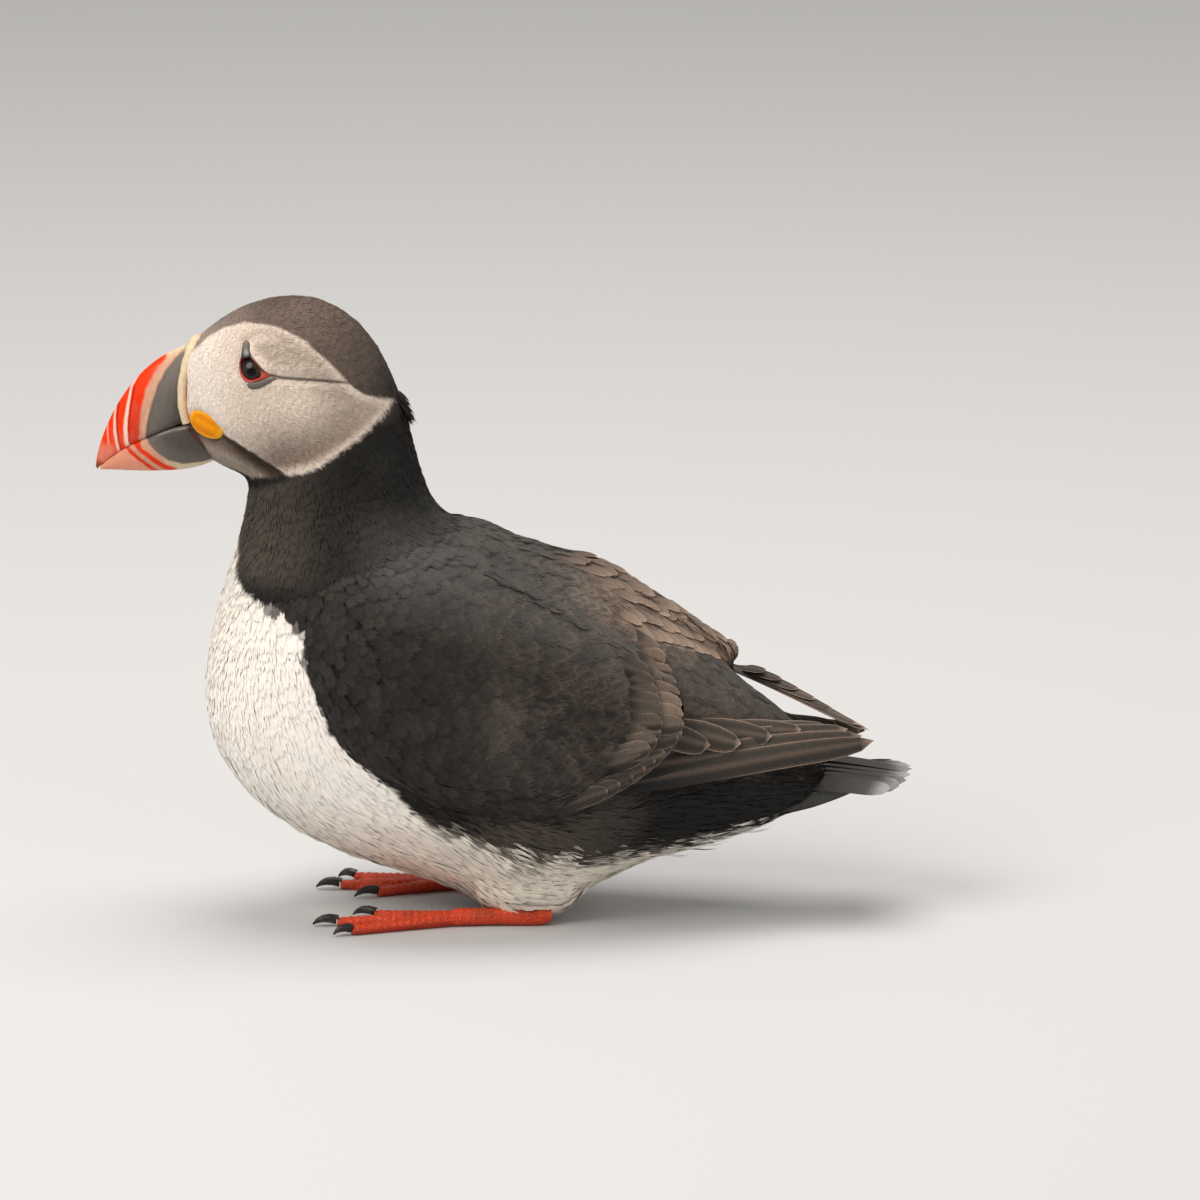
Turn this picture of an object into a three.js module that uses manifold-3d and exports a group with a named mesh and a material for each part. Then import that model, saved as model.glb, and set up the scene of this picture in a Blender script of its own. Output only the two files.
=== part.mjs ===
// An Atlantic puffin at rest, life size, as a still museum model.
// Millimetres, +Z up. The bird faces -Y and its left side is +X. It rests on the floor, z = 0, on its
// soles, its shanks and the middle of its belly. The body is one lofted form parted by thin cuts.

import * as THREE from "three";
import { mergeVertices } from "three/addons/utils/BufferGeometryUtils.js";
import Module from "manifold-3d";

const wasm = await Module();
wasm.setup();

// ---- driving dimensions ------------------------------------------------------------------------
const GAP = 0.3; // clearance between neighbouring pieces
const HEAD_WIDTH = 40; // across the cheeks
const NECK_WIDTH = 42; // at its narrowest
const TRUNK_WIDTH = 83; // without the wings
const BILL_WIDTH = 14.5; // across the gape
const TAIL_WIDTH = 43; // across the fan near its tip

const EYE = { radius: 4.6, x: 11.7, y: -72, z: 160.2 };
const PLATE_THICKNESS = 0.8; // the plates of horn above and below the eye
const GAPE = { x: 7.6, y: -89.6, z: 142.4 }; // the corner of the mouth
// The fleshy fold behind the gape: its middle, its size and its turns about X and Z
const ROSETTE = { x: 11.6, y: -84, z: 143.5, length: 11.8, height: 5.6, depth: 4.4, tilt: 0.7, turn: 0.5 };

const SOLE_OFFSET = 21; // from the middle of the body to the middle of each foot
const TOE_JOINT_Y = -15; // where the toes meet the shank
const HEEL_Y = 13;
const SHANK_RADIUS = 2.9;
const WEB_THICKNESS = 1.5;
// Each toe: its turn from straight ahead (outward is positive), its length without the claw
const TOES = {
  inner: { turn: -0.38, length: 24, root: 2.5, tip: 1.7, claw: 7.5 },
  middle: { turn: 0.02, length: 33, root: 2.7, tip: 1.8, claw: 7.5 },
  outer: { turn: 0.38, length: 31, root: 2.5, tip: 1.7, claw: 6 },
};

// ---- solids ------------------------------------------------------------------------------------
const vec = (x, y, z) => new THREE.Vector3(x, y, z);

// A closed three.js geometry as a solid with its faces outwards.
function solidOf(geometry) {
  const bare = geometry.clone();
  bare.deleteAttribute("normal");
  bare.deleteAttribute("uv");
  const merged = mergeVertices(bare, 1e-4);
  const triVerts = new Uint32Array(merged.index.array);
  const vertProperties = merged.attributes.position.array;
  const build = () => new wasm.Manifold(new wasm.Mesh({ numProp: 3, vertProperties, triVerts }));
  const solid = build();
  if (solid.volume() > 0) return solid;
  for (let i = 0; i < triVerts.length; i += 3) {
    [triVerts[i + 1], triVerts[i + 2]] = [triVerts[i + 2], triVerts[i + 1]];
  }
  return build();
}

function geometryOf(solid) {
  const mesh = solid.getMesh();
  const positions = new Float32Array(mesh.numVert * 3);
  for (let i = 0; i < mesh.numVert; i++) {
    positions.set(mesh.vertProperties.subarray(i * mesh.numProp, i * mesh.numProp + 3), i * 3);
  }
  const geometry = new THREE.BufferGeometry();
  geometry.setAttribute("position", new THREE.BufferAttribute(positions, 3));
  geometry.setIndex(new THREE.BufferAttribute(mesh.triVerts, 1));
  geometry.computeVertexNormals();
  return geometry;
}

// The largest separate body of a solid, without the crumbs and slivers that a cut may leave.
function mainBody(solid) {
  const largest = solid.decompose().reduce((best, s) => (s.volume() > best.volume() ? s : best));
  return largest.simplify(GAP / 8);
}

// A solid lofted through stations. Each has two edge points, a and b, half of its thickness across
// them, and low, which moves its fullest place towards b. grow thickens it all round.
function loft(stations, { along, around, grow = 0 }) {
  const through = (pick) => new THREE.CatmullRomCurve3(stations.map(pick), false, "centripetal");
  const edgeA = through((s) => s.a);
  const edgeB = through((s) => s.b);
  const fullness = through((s) => vec(s.half, s.low ?? 0, 0));
  const middleAt = (t) => edgeA.getPoint(t).lerp(edgeB.getPoint(t), 0.5);
  const geometry = new THREE.SphereGeometry(1, around, along);
  const place = geometry.attributes.position;
  const step = 1e-3;
  for (let row = 0; row <= along; row++) {
    const t = THREE.MathUtils.clamp((row - 1) / (along - 2), 0, 1);
    const a = edgeA.getPoint(t);
    const b = edgeB.getPoint(t);
    const middle = middleAt(t);
    const ahead = middleAt(Math.min(t + step, 1)).sub(middleAt(Math.max(t - step, 0))).normalize();
    const span = a.clone().sub(b);
    const reach = span.length() / 2 + grow;
    const across = span.clone().normalize();
    const side = across.clone().cross(ahead).normalize();
    const { x: half, y: low } = fullness.getPoint(t);
    const isPole = row === 0 || row === along;
    if (t === 0) middle.addScaledVector(ahead, -grow);
    if (t === 1) middle.addScaledVector(ahead, grow);
    for (let column = 0; column <= around; column++) {
      const angle = ((column % around) / around) * 2 * Math.PI;
      const point = middle.clone();
      if (!isPole) {
        const width = (half + grow) * Math.sin(angle) * (1 - low * Math.cos(angle));
        point.addScaledVector(across, reach * Math.cos(angle)).addScaledVector(side, width);
      }
      place.setXYZ(row * (around + 1) + column, point.x, point.y, point.z);
    }
  }
  return solidOf(geometry);
}

// A tapered round limb along a curve, flattened by flat in the direction away from the floor.
function limb(points, radii, { along, around, grow = 0, flat = 1 }) {
  const stations = points.map((p, i) => ({
    a: p.clone().add(vec(0, 0, radii[i] * flat)),
    b: p.clone().add(vec(0, 0, -radii[i] * flat)),
    half: radii[i],
  }));
  return loft(stations, { along, around, grow });
}

function boxSolid(size, centre, turnX = 0) {
  const geometry = new THREE.BoxGeometry(size, size, size).rotateX(turnX);
  return solidOf(geometry.translate(centre.x, centre.y, centre.z));
}

// Everything on the far side of a cut: a large block whose near face runs through two points of the
// middle plane, moved back by half of the gap.
function beyondCut(from, to) {
  const size = 400;
  const line = to.clone().sub(from);
  const turn = Math.atan2(line.z, line.y);
  const normal = vec(0, -Math.sin(turn), Math.cos(turn));
  const centre = from.clone().lerp(to, 0.5).addScaledVector(normal, size / 2 + GAP / 2);
  return boxSolid(size, centre, turn);
}

const mirrored = (solid) => solid.mirror([1, 0, 0]);
const pairOf = (solid) => solid.add(mirrored(solid));
const aboveFloor = boxSolid(600, vec(0, 0, 300));

// ---- the body ----------------------------------------------------------------------------------
// Stations from the root of the tail to the base of the bill. top and bottom are [y, z] on the
// middle line of the back and of the belly; half is half of the width.
const HALF_TRUNK = TRUNK_WIDTH / 2;
const HALF_NECK = NECK_WIDTH / 2;
const HALF_HEAD = HEAD_WIDTH / 2;
const BODY_LINE = [
  { top: [86, 53], bottom: [87, 32], half: 0.34 * HALF_TRUNK, low: 0 }, // root of the tail
  { top: [73, 62.5], bottom: [75, 25.5], half: 0.5 * HALF_TRUNK, low: 0.05 }, // rump
  { top: [55, 77.5], bottom: [57, 19], half: 0.66 * HALF_TRUNK, low: 0.08 },
  { top: [38, 90.5], bottom: [38, 14], half: 0.82 * HALF_TRUNK, low: 0.08 }, // lower back and vent
  { top: [20, 102.5], bottom: [19, 3.5], half: 0.94 * HALF_TRUNK, low: 0.06 },
  { top: [4, 108.2], bottom: [3, -1], half: HALF_TRUNK, low: 0.04 }, // between the wings
  { top: [-8, 111.5], bottom: [-20, 8.4], half: HALF_TRUNK, low: 0.02 },
  { top: [-15.5, 114.6], bottom: [-46, 16.2], half: 0.98 * HALF_TRUNK, low: 0 },
  { top: [-18.8, 117.4], bottom: [-68, 28.3], half: 0.94 * HALF_TRUNK, low: 0 }, // keel
  { top: [-21, 120.6], bottom: [-81.5, 44], half: 0.89 * HALF_TRUNK, low: 0 }, // breast
  { top: [-22.6, 124.2], bottom: [-86.3, 61.5], half: 0.82 * HALF_TRUNK, low: 0 },
  { top: [-24, 128.3], bottom: [-84.8, 78.5], half: 0.73 * HALF_TRUNK, low: 0 },
  { top: [-25.3, 133], bottom: [-80.4, 96], half: 0.63 * HALF_TRUNK, low: 0 }, // collar
  { top: [-26.8, 139.3], bottom: [-75.6, 110.5], half: 1.06 * HALF_NECK, low: 0 },
  { top: [-28.3, 145], bottom: [-73.8, 119.6], half: HALF_NECK, low: 0 }, // throat
  { top: [-31, 153], bottom: [-73.3, 125.6], half: 0.97 * HALF_HEAD, low: 0.06 }, // nape
  { top: [-35.6, 163], bottom: [-75.6, 127.2], half: HALF_HEAD, low: 0.14 },
  { top: [-43, 172.3], bottom: [-78, 128.2], half: HALF_HEAD, low: 0.2 }, // hind crown, cheeks
  { top: [-54, 178.2], bottom: [-80.5, 129.4], half: 0.97 * HALF_HEAD, low: 0.22 },
  { top: [-66, 178.2], bottom: [-83, 130.6], half: 0.88 * HALF_HEAD, low: 0.22 }, // crown, over the eye
  { top: [-77, 174.4], bottom: [-85.6, 132.4], half: 0.7 * HALF_HEAD, low: 0.2 },
  { top: [-84.5, 169], bottom: [-88, 135.2], half: 0.5 * HALF_HEAD, low: 0.14 }, // forehead
  { top: [-89, 163.5], bottom: [-90.5, 140], half: 0.32 * HALF_HEAD, low: 0.05 }, // base of the bill
];
const NECK_CUT = { back: vec(0, -14, 119), front: vec(0, -90, 90) };
const THIGH = { x: 17, y: 6, z: 11, radii: [9.5, 17, 10.4] }; // the feathered thigh, over the heel
const HEAD_CUT = { back: vec(0, -20, 150.5), front: vec(0, -84, 118) };

function bodySolid(grow = 0) {
  const stations = BODY_LINE.map(({ top, bottom, half, low }) => ({
    a: vec(0, ...top),
    b: vec(0, ...bottom),
    half,
    low,
  }));
  return loft(stations, { along: 40, around: 22, grow });
}

// ---- the wings ---------------------------------------------------------------------------------
// a runs along the edge next to the back and b along the lower edge. The left wing droops a little,
// and the right one is tucked higher, so each has its own stations.
const side = (sign) => (x, y, z) => vec(sign * x, y, z);

function armStations(sign, droops) {
  const at = side(sign);
  if (droops) {
    return [
      { a: at(31, -57.5, 93), b: at(33, -58, 83), half: 3.5 },
      { a: at(25, -49, 106), b: at(38.5, -52, 68), half: 9.5 },
      { a: at(19.5, -37, 110.5), b: at(41.5, -43, 54.5), half: 14 },
      { a: at(17.5, -20, 110), b: at(42, -24, 42), half: 16.2 },
      { a: at(18, -2, 105.5), b: at(41, -6, 36.5), half: 15.6 },
      { a: at(20, 15, 97.5), b: at(39.5, 12, 35.5), half: 12.4 },
      { a: at(23.5, 30, 87), b: at(37.5, 28, 41.5), half: 7.6 },
      { a: at(27.5, 43, 76.5), b: at(34.5, 41, 50), half: 4.4 },
      { a: at(31, 51, 67), b: at(32.5, 50.5, 59.5), half: 2.2 },
    ];
  }
  return [
    { a: at(30, -57.5, 96), b: at(32, -58, 86), half: 3.5 },
    { a: at(22, -49, 109.5), b: at(38.5, -52, 72), half: 9.5 },
    { a: at(14.5, -38, 112.6), b: at(41.5, -44, 60), half: 14.2 },
    { a: at(11, -20, 112.4), b: at(42.5, -24, 49), half: 17 },
    { a: at(9, -2, 109.8), b: at(42, -6, 44.5), half: 16.4 },
    { a: at(7, 15, 105.4), b: at(40, 12, 45), half: 13.4 },
    { a: at(5, 32, 97), b: at(36.5, 29, 52), half: 11 },
    { a: at(4.5, 48, 85.5), b: at(31, 44, 59.5), half: 8 },
    { a: at(7, 60, 77.5), b: at(23, 57, 66), half: 4.8 },
    { a: at(12, 67, 72.5), b: at(16, 66, 69.5), half: 2 },
  ];
}

function primaryStations(sign, droops) {
  const at = side(sign);
  if (droops) {
    return [
      { a: at(37.5, 10, 60), b: at(40.5, 10, 36.5), half: 1.6 },
      { a: at(30, 32, 63), b: at(38.8, 30, 39), half: 2.2 },
      { a: at(24, 50, 62.5), b: at(36, 48, 41), half: 2.2 },
      { a: at(16, 67, 60.5), b: at(30.5, 66, 44.8), half: 2 },
      { a: at(8.5, 84, 58.4), b: at(24, 83, 48.4), half: 1.7 },
      { a: at(4.8, 94, 56.6), b: at(16.5, 94, 50.8), half: 1.4 },
      { a: at(4.8, 103.5, 53), b: at(8.5, 103, 51.6), half: 0.9 },
    ];
  }
  return [
    { a: at(19, 40, 82), b: at(35, 38, 58), half: 1.6 },
    { a: at(15, 52, 77), b: at(33, 50, 61), half: 2 },
    { a: at(11.5, 63, 73), b: at(29.5, 62, 62.5), half: 2 },
    { a: at(9, 76.5, 67.2), b: at(25.5, 76, 58.4), half: 1.8 },
    { a: at(6.6, 86, 61.8), b: at(20, 85, 54.2), half: 1.6 },
    { a: at(3.8, 95, 57), b: at(12.5, 94.5, 52.7), half: 1.3 },
    { a: at(2.2, 104, 51.6), b: at(5.6, 103.6, 50.6), half: 0.9 },
  ];
}

const armSolid = (sign, droops, grow = 0) =>
  loft(armStations(sign, droops), { along: 18, around: 14, grow });
const primarySolid = (sign, droops, grow = 0) =>
  loft(primaryStations(sign, droops), { along: 12, around: 10, grow });

// ---- the tail ----------------------------------------------------------------------------------
function tailSolid(grow = 0) {
  const halfTail = TAIL_WIDTH / 2;
  const line = [
    { top: [72, 61], bottom: [72, 27], half: 0.8 * halfTail },
    { top: [84, 54.5], bottom: [84, 29.5], half: 0.86 * halfTail },
    { top: [94, 48.6], bottom: [94, 33], half: 0.92 * halfTail },
    { top: [104, 44.4], bottom: [104, 36.2], half: halfTail },
    { top: [112, 41.8], bottom: [112, 37.6], half: 0.9 * halfTail },
    { top: [116.6, 40.4], bottom: [116.6, 38.2], half: 0.62 * halfTail },
  ];
  const stations = line.map(({ top, bottom, half }) => ({ a: vec(0, ...top), b: vec(0, ...bottom), half }));
  return loft(stations, { along: 12, around: 14, grow });
}

// ---- the bill ----------------------------------------------------------------------------------
// Each mandible is lofted from its base to the tip. a runs along the ridge or the keel, and b along
// the edge of the mouth.
const HALF_BILL = BILL_WIDTH / 2;

function upperBill(grow = 0) {
  const line = [
    { ridge: [-85, 166.4], mouth: [-88.2, 143.4], half: 0.98, low: 0.5 },
    { ridge: [-91, 164.4], mouth: [-93.2, 141.6], half: 0.9, low: 0.52 },
    { ridge: [-98.6, 160.2], mouth: [-98.6, 139.8], half: 0.76, low: 0.5 },
    { ridge: [-105.2, 154.2], mouth: [-103.6, 138], half: 0.6, low: 0.45 },
    { ridge: [-110.2, 147.2], mouth: [-108.2, 135.6], half: 0.43, low: 0.35 },
    { ridge: [-113.8, 139.8], mouth: [-112, 133.3], half: 0.29, low: 0.2 },
    { ridge: [-115.9, 133.4], mouth: [-114.6, 130.8], half: 0.18, low: 0 },
    { ridge: [-116.6, 129.3], mouth: [-116, 128.6], half: 0.08, low: 0 },
  ];
  const stations = line.map(({ ridge, mouth, half, low }) => ({
    a: vec(0, ...ridge),
    b: vec(0, ...mouth),
    half: half * HALF_BILL,
    low,
  }));
  return loft(stations, { along: 13, around: 12, grow });
}

function lowerBill(grow = 0) {
  const line = [
    { keel: [-81.5, 131.5], mouth: [-85.5, 140.6], half: 0.84, low: 0.2 },
    { keel: [-86.4, 129.4], mouth: [-89.8, 141.6], half: 0.92, low: 0.3 },
    { keel: [-92, 128.2], mouth: [-94.4, 140.4], half: 0.84, low: 0.36 },
    { keel: [-98.6, 127.8], mouth: [-99.4, 138.6], half: 0.7, low: 0.38 },
    { keel: [-105, 127.8], mouth: [-104.8, 136.4], half: 0.52, low: 0.36 },
    { keel: [-110, 128], mouth: [-109.6, 133.6], half: 0.34, low: 0.3 },
    { keel: [-113.6, 128.2], mouth: [-113, 131], half: 0.17, low: 0.1 },
    { keel: [-115, 128.3], mouth: [-114.8, 129], half: 0.08, low: 0 },
  ];
  const stations = line.map(({ keel, mouth, half, low }) => ({
    a: vec(0, ...keel),
    b: vec(0, ...mouth),
    half: half * HALF_BILL,
    low,
  }));
  return loft(stations, { along: 10, around: 10, grow });
}

// The pale raised rim round the base of the upper bill, an arch from gape to gape.
function billRim(grow = 0) {
  const rise = [
    [HALF_BILL + 0.5, GAPE.y - 0.6, GAPE.z + 0.6],
    [HALF_BILL + 0.2, -91.2, 148.5],
    [0.74 * HALF_BILL, -91, 156.5],
    [0.4 * HALF_BILL, -89.2, 162.8],
  ];
  const arch = [
    ...rise.map(([x, y, z]) => vec(-x, y, z)),
    vec(0, -88.1, 165),
    ...rise.map(([x, y, z]) => vec(x, y, z)).reverse(),
  ];
  const path = new THREE.CatmullRomCurve3(arch, false, "centripetal");
  const section = new THREE.Shape();
  section.absellipse(0, 0, 1.35 + grow, 1.35 + grow, 0, 2 * Math.PI);
  const geometry = new THREE.ExtrudeGeometry(section, { steps: 14, curveSegments: 3, extrudePath: path });
  return solidOf(geometry);
}

function ellipsoid(centre, radii, { around = 10, along = 8, grow = 0, turnX = 0, turnZ = 0 } = {}) {
  const geometry = new THREE.SphereGeometry(1, around, along);
  geometry.scale(radii.x + grow, radii.y + grow, radii.z + grow).rotateX(turnX).rotateZ(turnZ);
  return solidOf(geometry.translate(centre.x, centre.y, centre.z));
}

const rosette = (grow = 0) =>
  ellipsoid(
    vec(ROSETTE.x, ROSETTE.y, ROSETTE.z),
    vec(ROSETTE.depth / 2, ROSETTE.length / 2, ROSETTE.height / 2),
    { grow, turnX: -ROSETTE.tilt, turnZ: -ROSETTE.turn },
  );

// ---- the eyes ----------------------------------------------------------------------------------
const eyeCentre = vec(EYE.x, EYE.y, EYE.z);
const eyeBall = (grow = 0) =>
  ellipsoid(eyeCentre, vec(EYE.radius, EYE.radius, EYE.radius), { around: 12, along: 8, grow });

// A small plate of horn by the eye: an outline in the side view, cut deep enough to sit in the skin.
function hornPlate(outline) {
  const shape = new THREE.Shape(outline.map(([y, z]) => new THREE.Vector2(EYE.y + y, EYE.z + z)));
  const depth = 14;
  const geometry = new THREE.ExtrudeGeometry(shape, { depth, bevelEnabled: false, curveSegments: 4 });
  geometry.applyMatrix4(
    new THREE.Matrix4().makeBasis(vec(0, 1, 0), vec(0, 0, 1), vec(1, 0, 0)),
  );
  return solidOf(geometry.translate(EYE.x - 1, 0, 0));
}

// The outlines are [y, z], measured from the middle of the eye.
const UPPER_PLATE = [
  [-3.2, 3.2],
  [0.6, 3.4],
  [-1.1, 7.4],
  [-2.9, 7.4],
];
const LOWER_PLATE = [
  [-1.8, -2.7],
  [-1, -4.8],
  [0.8, -4.8],
  [3.6, -3.9],
  [5.7, -2.6],
  [7.9, -2.1],
  [5.3, -1.3],
  [2.7, -2.1],
  [0.6, -2.7],
];

// ---- legs and feet -----------------------------------------------------------------------------
const jointAt = vec(SOLE_OFFSET + 1.5, TOE_JOINT_Y, SHANK_RADIUS * 0.9);
const toeTip = ({ turn, length }) =>
  vec(jointAt.x + Math.sin(turn) * length, jointAt.y - Math.cos(turn) * length, 1.3);

function shank(grow = 0) {
  const heel = vec(SOLE_OFFSET, HEEL_Y, SHANK_RADIUS);
  const along = [
    jointAt.clone().add(vec(0, 0.6, 0)),
    jointAt.clone().lerp(heel, 0.4),
    jointAt.clone().lerp(heel, 0.85),
    heel.clone().add(vec(0, 0, 0.6)),
  ];
  return limb(along, [2.7, 2.4, 2.9, 2.7], { along: 8, around: 12, grow }).intersect(aboveFloor);
}

function toe({ turn, length, root, tip }, grow = 0) {
  const end = toeTip({ turn, length });
  const points = [0, 0.33, 0.66, 1].map((share) => jointAt.clone().lerp(end, share));
  const knuckles = [root, root * 0.86, tip * 1.12, tip];
  return limb(points, knuckles, { along: 5, around: 7, grow, flat: 0.8 });
}

// The webs: one thin sheet from the joint out to the toes, hollowed between their tips.
function web(grow = 0) {
  const tips = [TOES.inner, TOES.middle, TOES.outer].map(toeTip);
  const shape = new THREE.Shape();
  shape.moveTo(jointAt.x, jointAt.y + 2 + grow * 2);
  shape.lineTo(tips[0].x, tips[0].y + 1.5);
  for (const [from, to] of [
    [tips[0], tips[1]],
    [tips[1], tips[2]],
  ]) {
    const hollow = from.clone().lerp(to, 0.5).lerp(jointAt, 0.2);
    shape.quadraticCurveTo(hollow.x, hollow.y, to.x, to.y + 1.5);
  }
  shape.closePath();
  const geometry = new THREE.ExtrudeGeometry(shape, {
    depth: WEB_THICKNESS + grow,
    bevelEnabled: false,
    curveSegments: 3,
  });
  return solidOf(geometry);
}

const footShape = (grow = 0) => Object.values(TOES).reduce((made, t) => made.add(toe(t, grow)), web(grow));
const foot = () => footShape().intersect(aboveFloor);

function claw(name) {
  const { turn, length, tip, claw: reach } = TOES[name];
  const ahead = vec(Math.sin(turn), -Math.cos(turn), 0);
  const root = toeTip({ turn, length }).addScaledVector(ahead, -0.5);
  const points = [
    root.clone().setZ(1.9),
    root.clone().addScaledVector(ahead, reach * 0.45).setZ(2.5),
    root.clone().addScaledVector(ahead, reach * 0.8).setZ(1.9),
    root.clone().addScaledVector(ahead, reach).setZ(0.75),
  ];
  return limb(points, [tip * 0.85, tip * 0.72, tip * 0.5, 0.3], { along: 6, around: 6 }).intersect(aboveFloor);
}

// ---- materials ---------------------------------------------------------------------------------
const finish = (color, roughness) => new THREE.MeshStandardMaterial({ color, roughness, metalness: 0 });
const PLUMAGE_DARK = finish("#35302d", 0.85);
const PLUMAGE_WHITE = finish("#ece6db", 0.85);
const PLUMAGE_HEAD = finish("#cfc6bc", 0.8);
const HORN_RED = finish("#e2512a", 0.4);
const HORN_RIM = finish("#e6d7b0", 0.5);
const ROSETTE_SKIN = finish("#f0a018", 0.5);
const HORN_GREY = finish("#565d61", 0.45);
const EYE_DARK = finish("#1c1512", 0.08);
const LEG_SKIN = finish("#df4a1c", 0.5);
const CLAW_HORN = finish("#241d1a", 0.35);

// ---- assembly ----------------------------------------------------------------------------------
const puffin = new THREE.Group();

function addPart(name, solid, material) {
  const mesh = new THREE.Mesh(geometryOf(mainBody(solid)), material);
  mesh.name = name;
  puffin.add(mesh);
}

function addPair(name, solid, material) {
  addPart(name + "_left", solid, material);
  addPart(name + "_right", mirrored(solid), material);
}

const body = bodySolid();
const onlyHead = body.intersect(beyondCut(HEAD_CUT.front, HEAD_CUT.back));
const aboveNeckCut = body.intersect(beyondCut(NECK_CUT.front, NECK_CUT.back));
const neck = aboveNeckCut.intersect(beyondCut(HEAD_CUT.back, HEAD_CUT.front));
const belowNeckCut = body.intersect(beyondCut(NECK_CUT.back, NECK_CUT.front));
const thigh = ellipsoid(vec(THIGH.x, THIGH.y, THIGH.z), vec(...THIGH.radii), { around: 14, along: 10 });
const trunk = belowNeckCut.add(pairOf(thigh)).intersect(aboveFloor);

const billZone = upperBill(GAP).add(lowerBill(GAP)).add(billRim(GAP)).add(pairOf(rosette(GAP)));

const grownBody = bodySolid(GAP);
const plateLayer = bodySolid(GAP + PLATE_THICKNESS).subtract(grownBody).subtract(eyeBall(GAP));
const head = onlyHead.subtract(billZone).subtract(pairOf(eyeBall(GAP)));

addPart("head", head, PLUMAGE_HEAD);
addPart("neck", neck, PLUMAGE_DARK);
addPart("trunk", trunk.subtract(pairOf(shank(GAP))).subtract(tailSolid(GAP)), PLUMAGE_WHITE);
addPart("tail", tailSolid(), PLUMAGE_DARK);

for (const [name, sign, droops] of [
  ["left", 1, true],
  ["right", -1, false],
]) {
  const arm = armSolid(sign, droops).subtract(grownBody);
  const primaries = primarySolid(sign, droops)
    .subtract(armSolid(sign, droops, GAP))
    .subtract(grownBody)
    .subtract(tailSolid(GAP));
  addPart("wing_" + name, arm, PLUMAGE_DARK);
  addPart("primaries_" + name, primaries, PLUMAGE_DARK);
}

addPart("bill_upper", upperBill(), HORN_RED);
addPart("bill_lower", lowerBill().subtract(upperBill(GAP)), HORN_RED);
addPart("bill_rim", billRim().subtract(upperBill(GAP)).subtract(lowerBill(GAP)), HORN_RIM);
const rosetteCut = upperBill(GAP).add(lowerBill(GAP)).add(billRim(GAP));
addPair("rosette", rosette().subtract(rosetteCut), ROSETTE_SKIN);
addPair("eye", eyeBall(), EYE_DARK);
addPair("eye_plate_upper", hornPlate(UPPER_PLATE).intersect(plateLayer), HORN_GREY);
addPair("eye_plate_lower", hornPlate(LOWER_PLATE).intersect(plateLayer), HORN_GREY);
addPair("leg", shank().subtract(footShape(GAP)), LEG_SKIN);
addPair("foot", foot(), LEG_SKIN);
for (const name of Object.keys(TOES)) {
  addPair("claw_" + name, claw(name).subtract(footShape(GAP)), CLAW_HORN);
}

export default puffin;
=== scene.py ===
"""A life-size Atlantic puffin, made as a still museum model.

One skin stands for the flesh, and every feather is mesh laid over it. The scene is in metres, and the
work here is in millimetres until a piece is finished. The bird faces -Y and its left side is +X.
An outline is a list of (y, z) points in the side view, and holds for both sides of the bird.
"""

import functools
import math
from types import SimpleNamespace

import bmesh
import bpy
import numpy as np
from mathutils import Matrix, Vector
from mathutils.bvhtree import BVHTree


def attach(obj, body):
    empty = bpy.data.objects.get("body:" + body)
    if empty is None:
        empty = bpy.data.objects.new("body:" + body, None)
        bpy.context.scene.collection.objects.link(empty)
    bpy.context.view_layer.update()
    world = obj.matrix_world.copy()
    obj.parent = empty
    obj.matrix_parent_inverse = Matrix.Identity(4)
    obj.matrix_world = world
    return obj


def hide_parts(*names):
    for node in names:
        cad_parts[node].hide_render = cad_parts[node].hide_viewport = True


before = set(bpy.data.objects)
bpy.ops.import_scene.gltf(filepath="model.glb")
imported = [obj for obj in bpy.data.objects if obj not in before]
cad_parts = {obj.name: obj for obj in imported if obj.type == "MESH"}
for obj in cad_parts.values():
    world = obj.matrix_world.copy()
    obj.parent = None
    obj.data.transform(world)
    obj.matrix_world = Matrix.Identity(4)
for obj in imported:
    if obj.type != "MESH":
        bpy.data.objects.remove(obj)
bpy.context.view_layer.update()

bl_info = {
    "name": "Atlantic Puffin",
    "version": (1, 0, 0),
    "blender": (4, 5, 0),
    "location": "View3D > Sidebar > Puffin",
    "description": "A life-size puffin with a coat of mesh feathers",
    "category": "Object",
}

MM = 0.001
TURN = 2 * math.pi
SIDES = {"left": 1, "right": -1}
BAKE_MAP = "OFBake"
BAKE_PATCH = 0.003
# How far each entry of LIE and of COAT has a say, and how much higher the right wing is folded
LIE_REACH = 7
COAT_REACH = 9
RIGHT_WING_RISE = 6
# How closely the pleats of the rosettes follow on one another, in radians over half their height
ROSETTE_PLEATS = 7
# Half the width of the part of the eyeball that shows between the lids
EYE_SHOWN = 2.85
# Tones that lie within one piece
EYE_CORNER_SKIN = "#b9645a"
PLATE_SHINE = "#8d9498"
GROOVE_PALE = "#ecd9cc"
BILL_TIP_HORN = "#7a4630"
# A painted highlight along the lower lip
LIP_HIGHLIGHT = "#a79d92"
LOWER_TIP_PINK = "#dc937a"
GAPE_DARK = "#5c2d22"
RIM_STAIN = "#cf8434"
ROSETTE_EDGE = "#f3b93a"
WORN_TAIL = "#a9a8ad"

# ---- places on the bird --------------------------------------------------------------------------
# The pale face, from the bill over the eye to the nape and back under the cheek
FACE = [
    (-95, 158.5), (-90.7, 160.3), (-88.5, 163.6), (-84, 167.6), (-79.7, 170.2), (-74.2, 172.1),
    (-67.7, 171.9), (-63.3, 171), (-56.7, 168), (-54, 165.4), (-49.7, 161.8), (-46.4, 158.2),
    (-43.1, 154.8), (-39.8, 152.4), (-36, 150.9), (-31, 149.4), (-33.3, 147.6), (-36.6, 144.4),
    (-39.8, 141.6), (-43.7, 138.8), (-48, 135.8), (-52.4, 132.9), (-56.7, 130.9), (-61.1, 129.9),
    (-65.5, 129.2), (-72, 127.4), (-77, 129.6), (-83, 131), (-95, 135),
]
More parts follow.
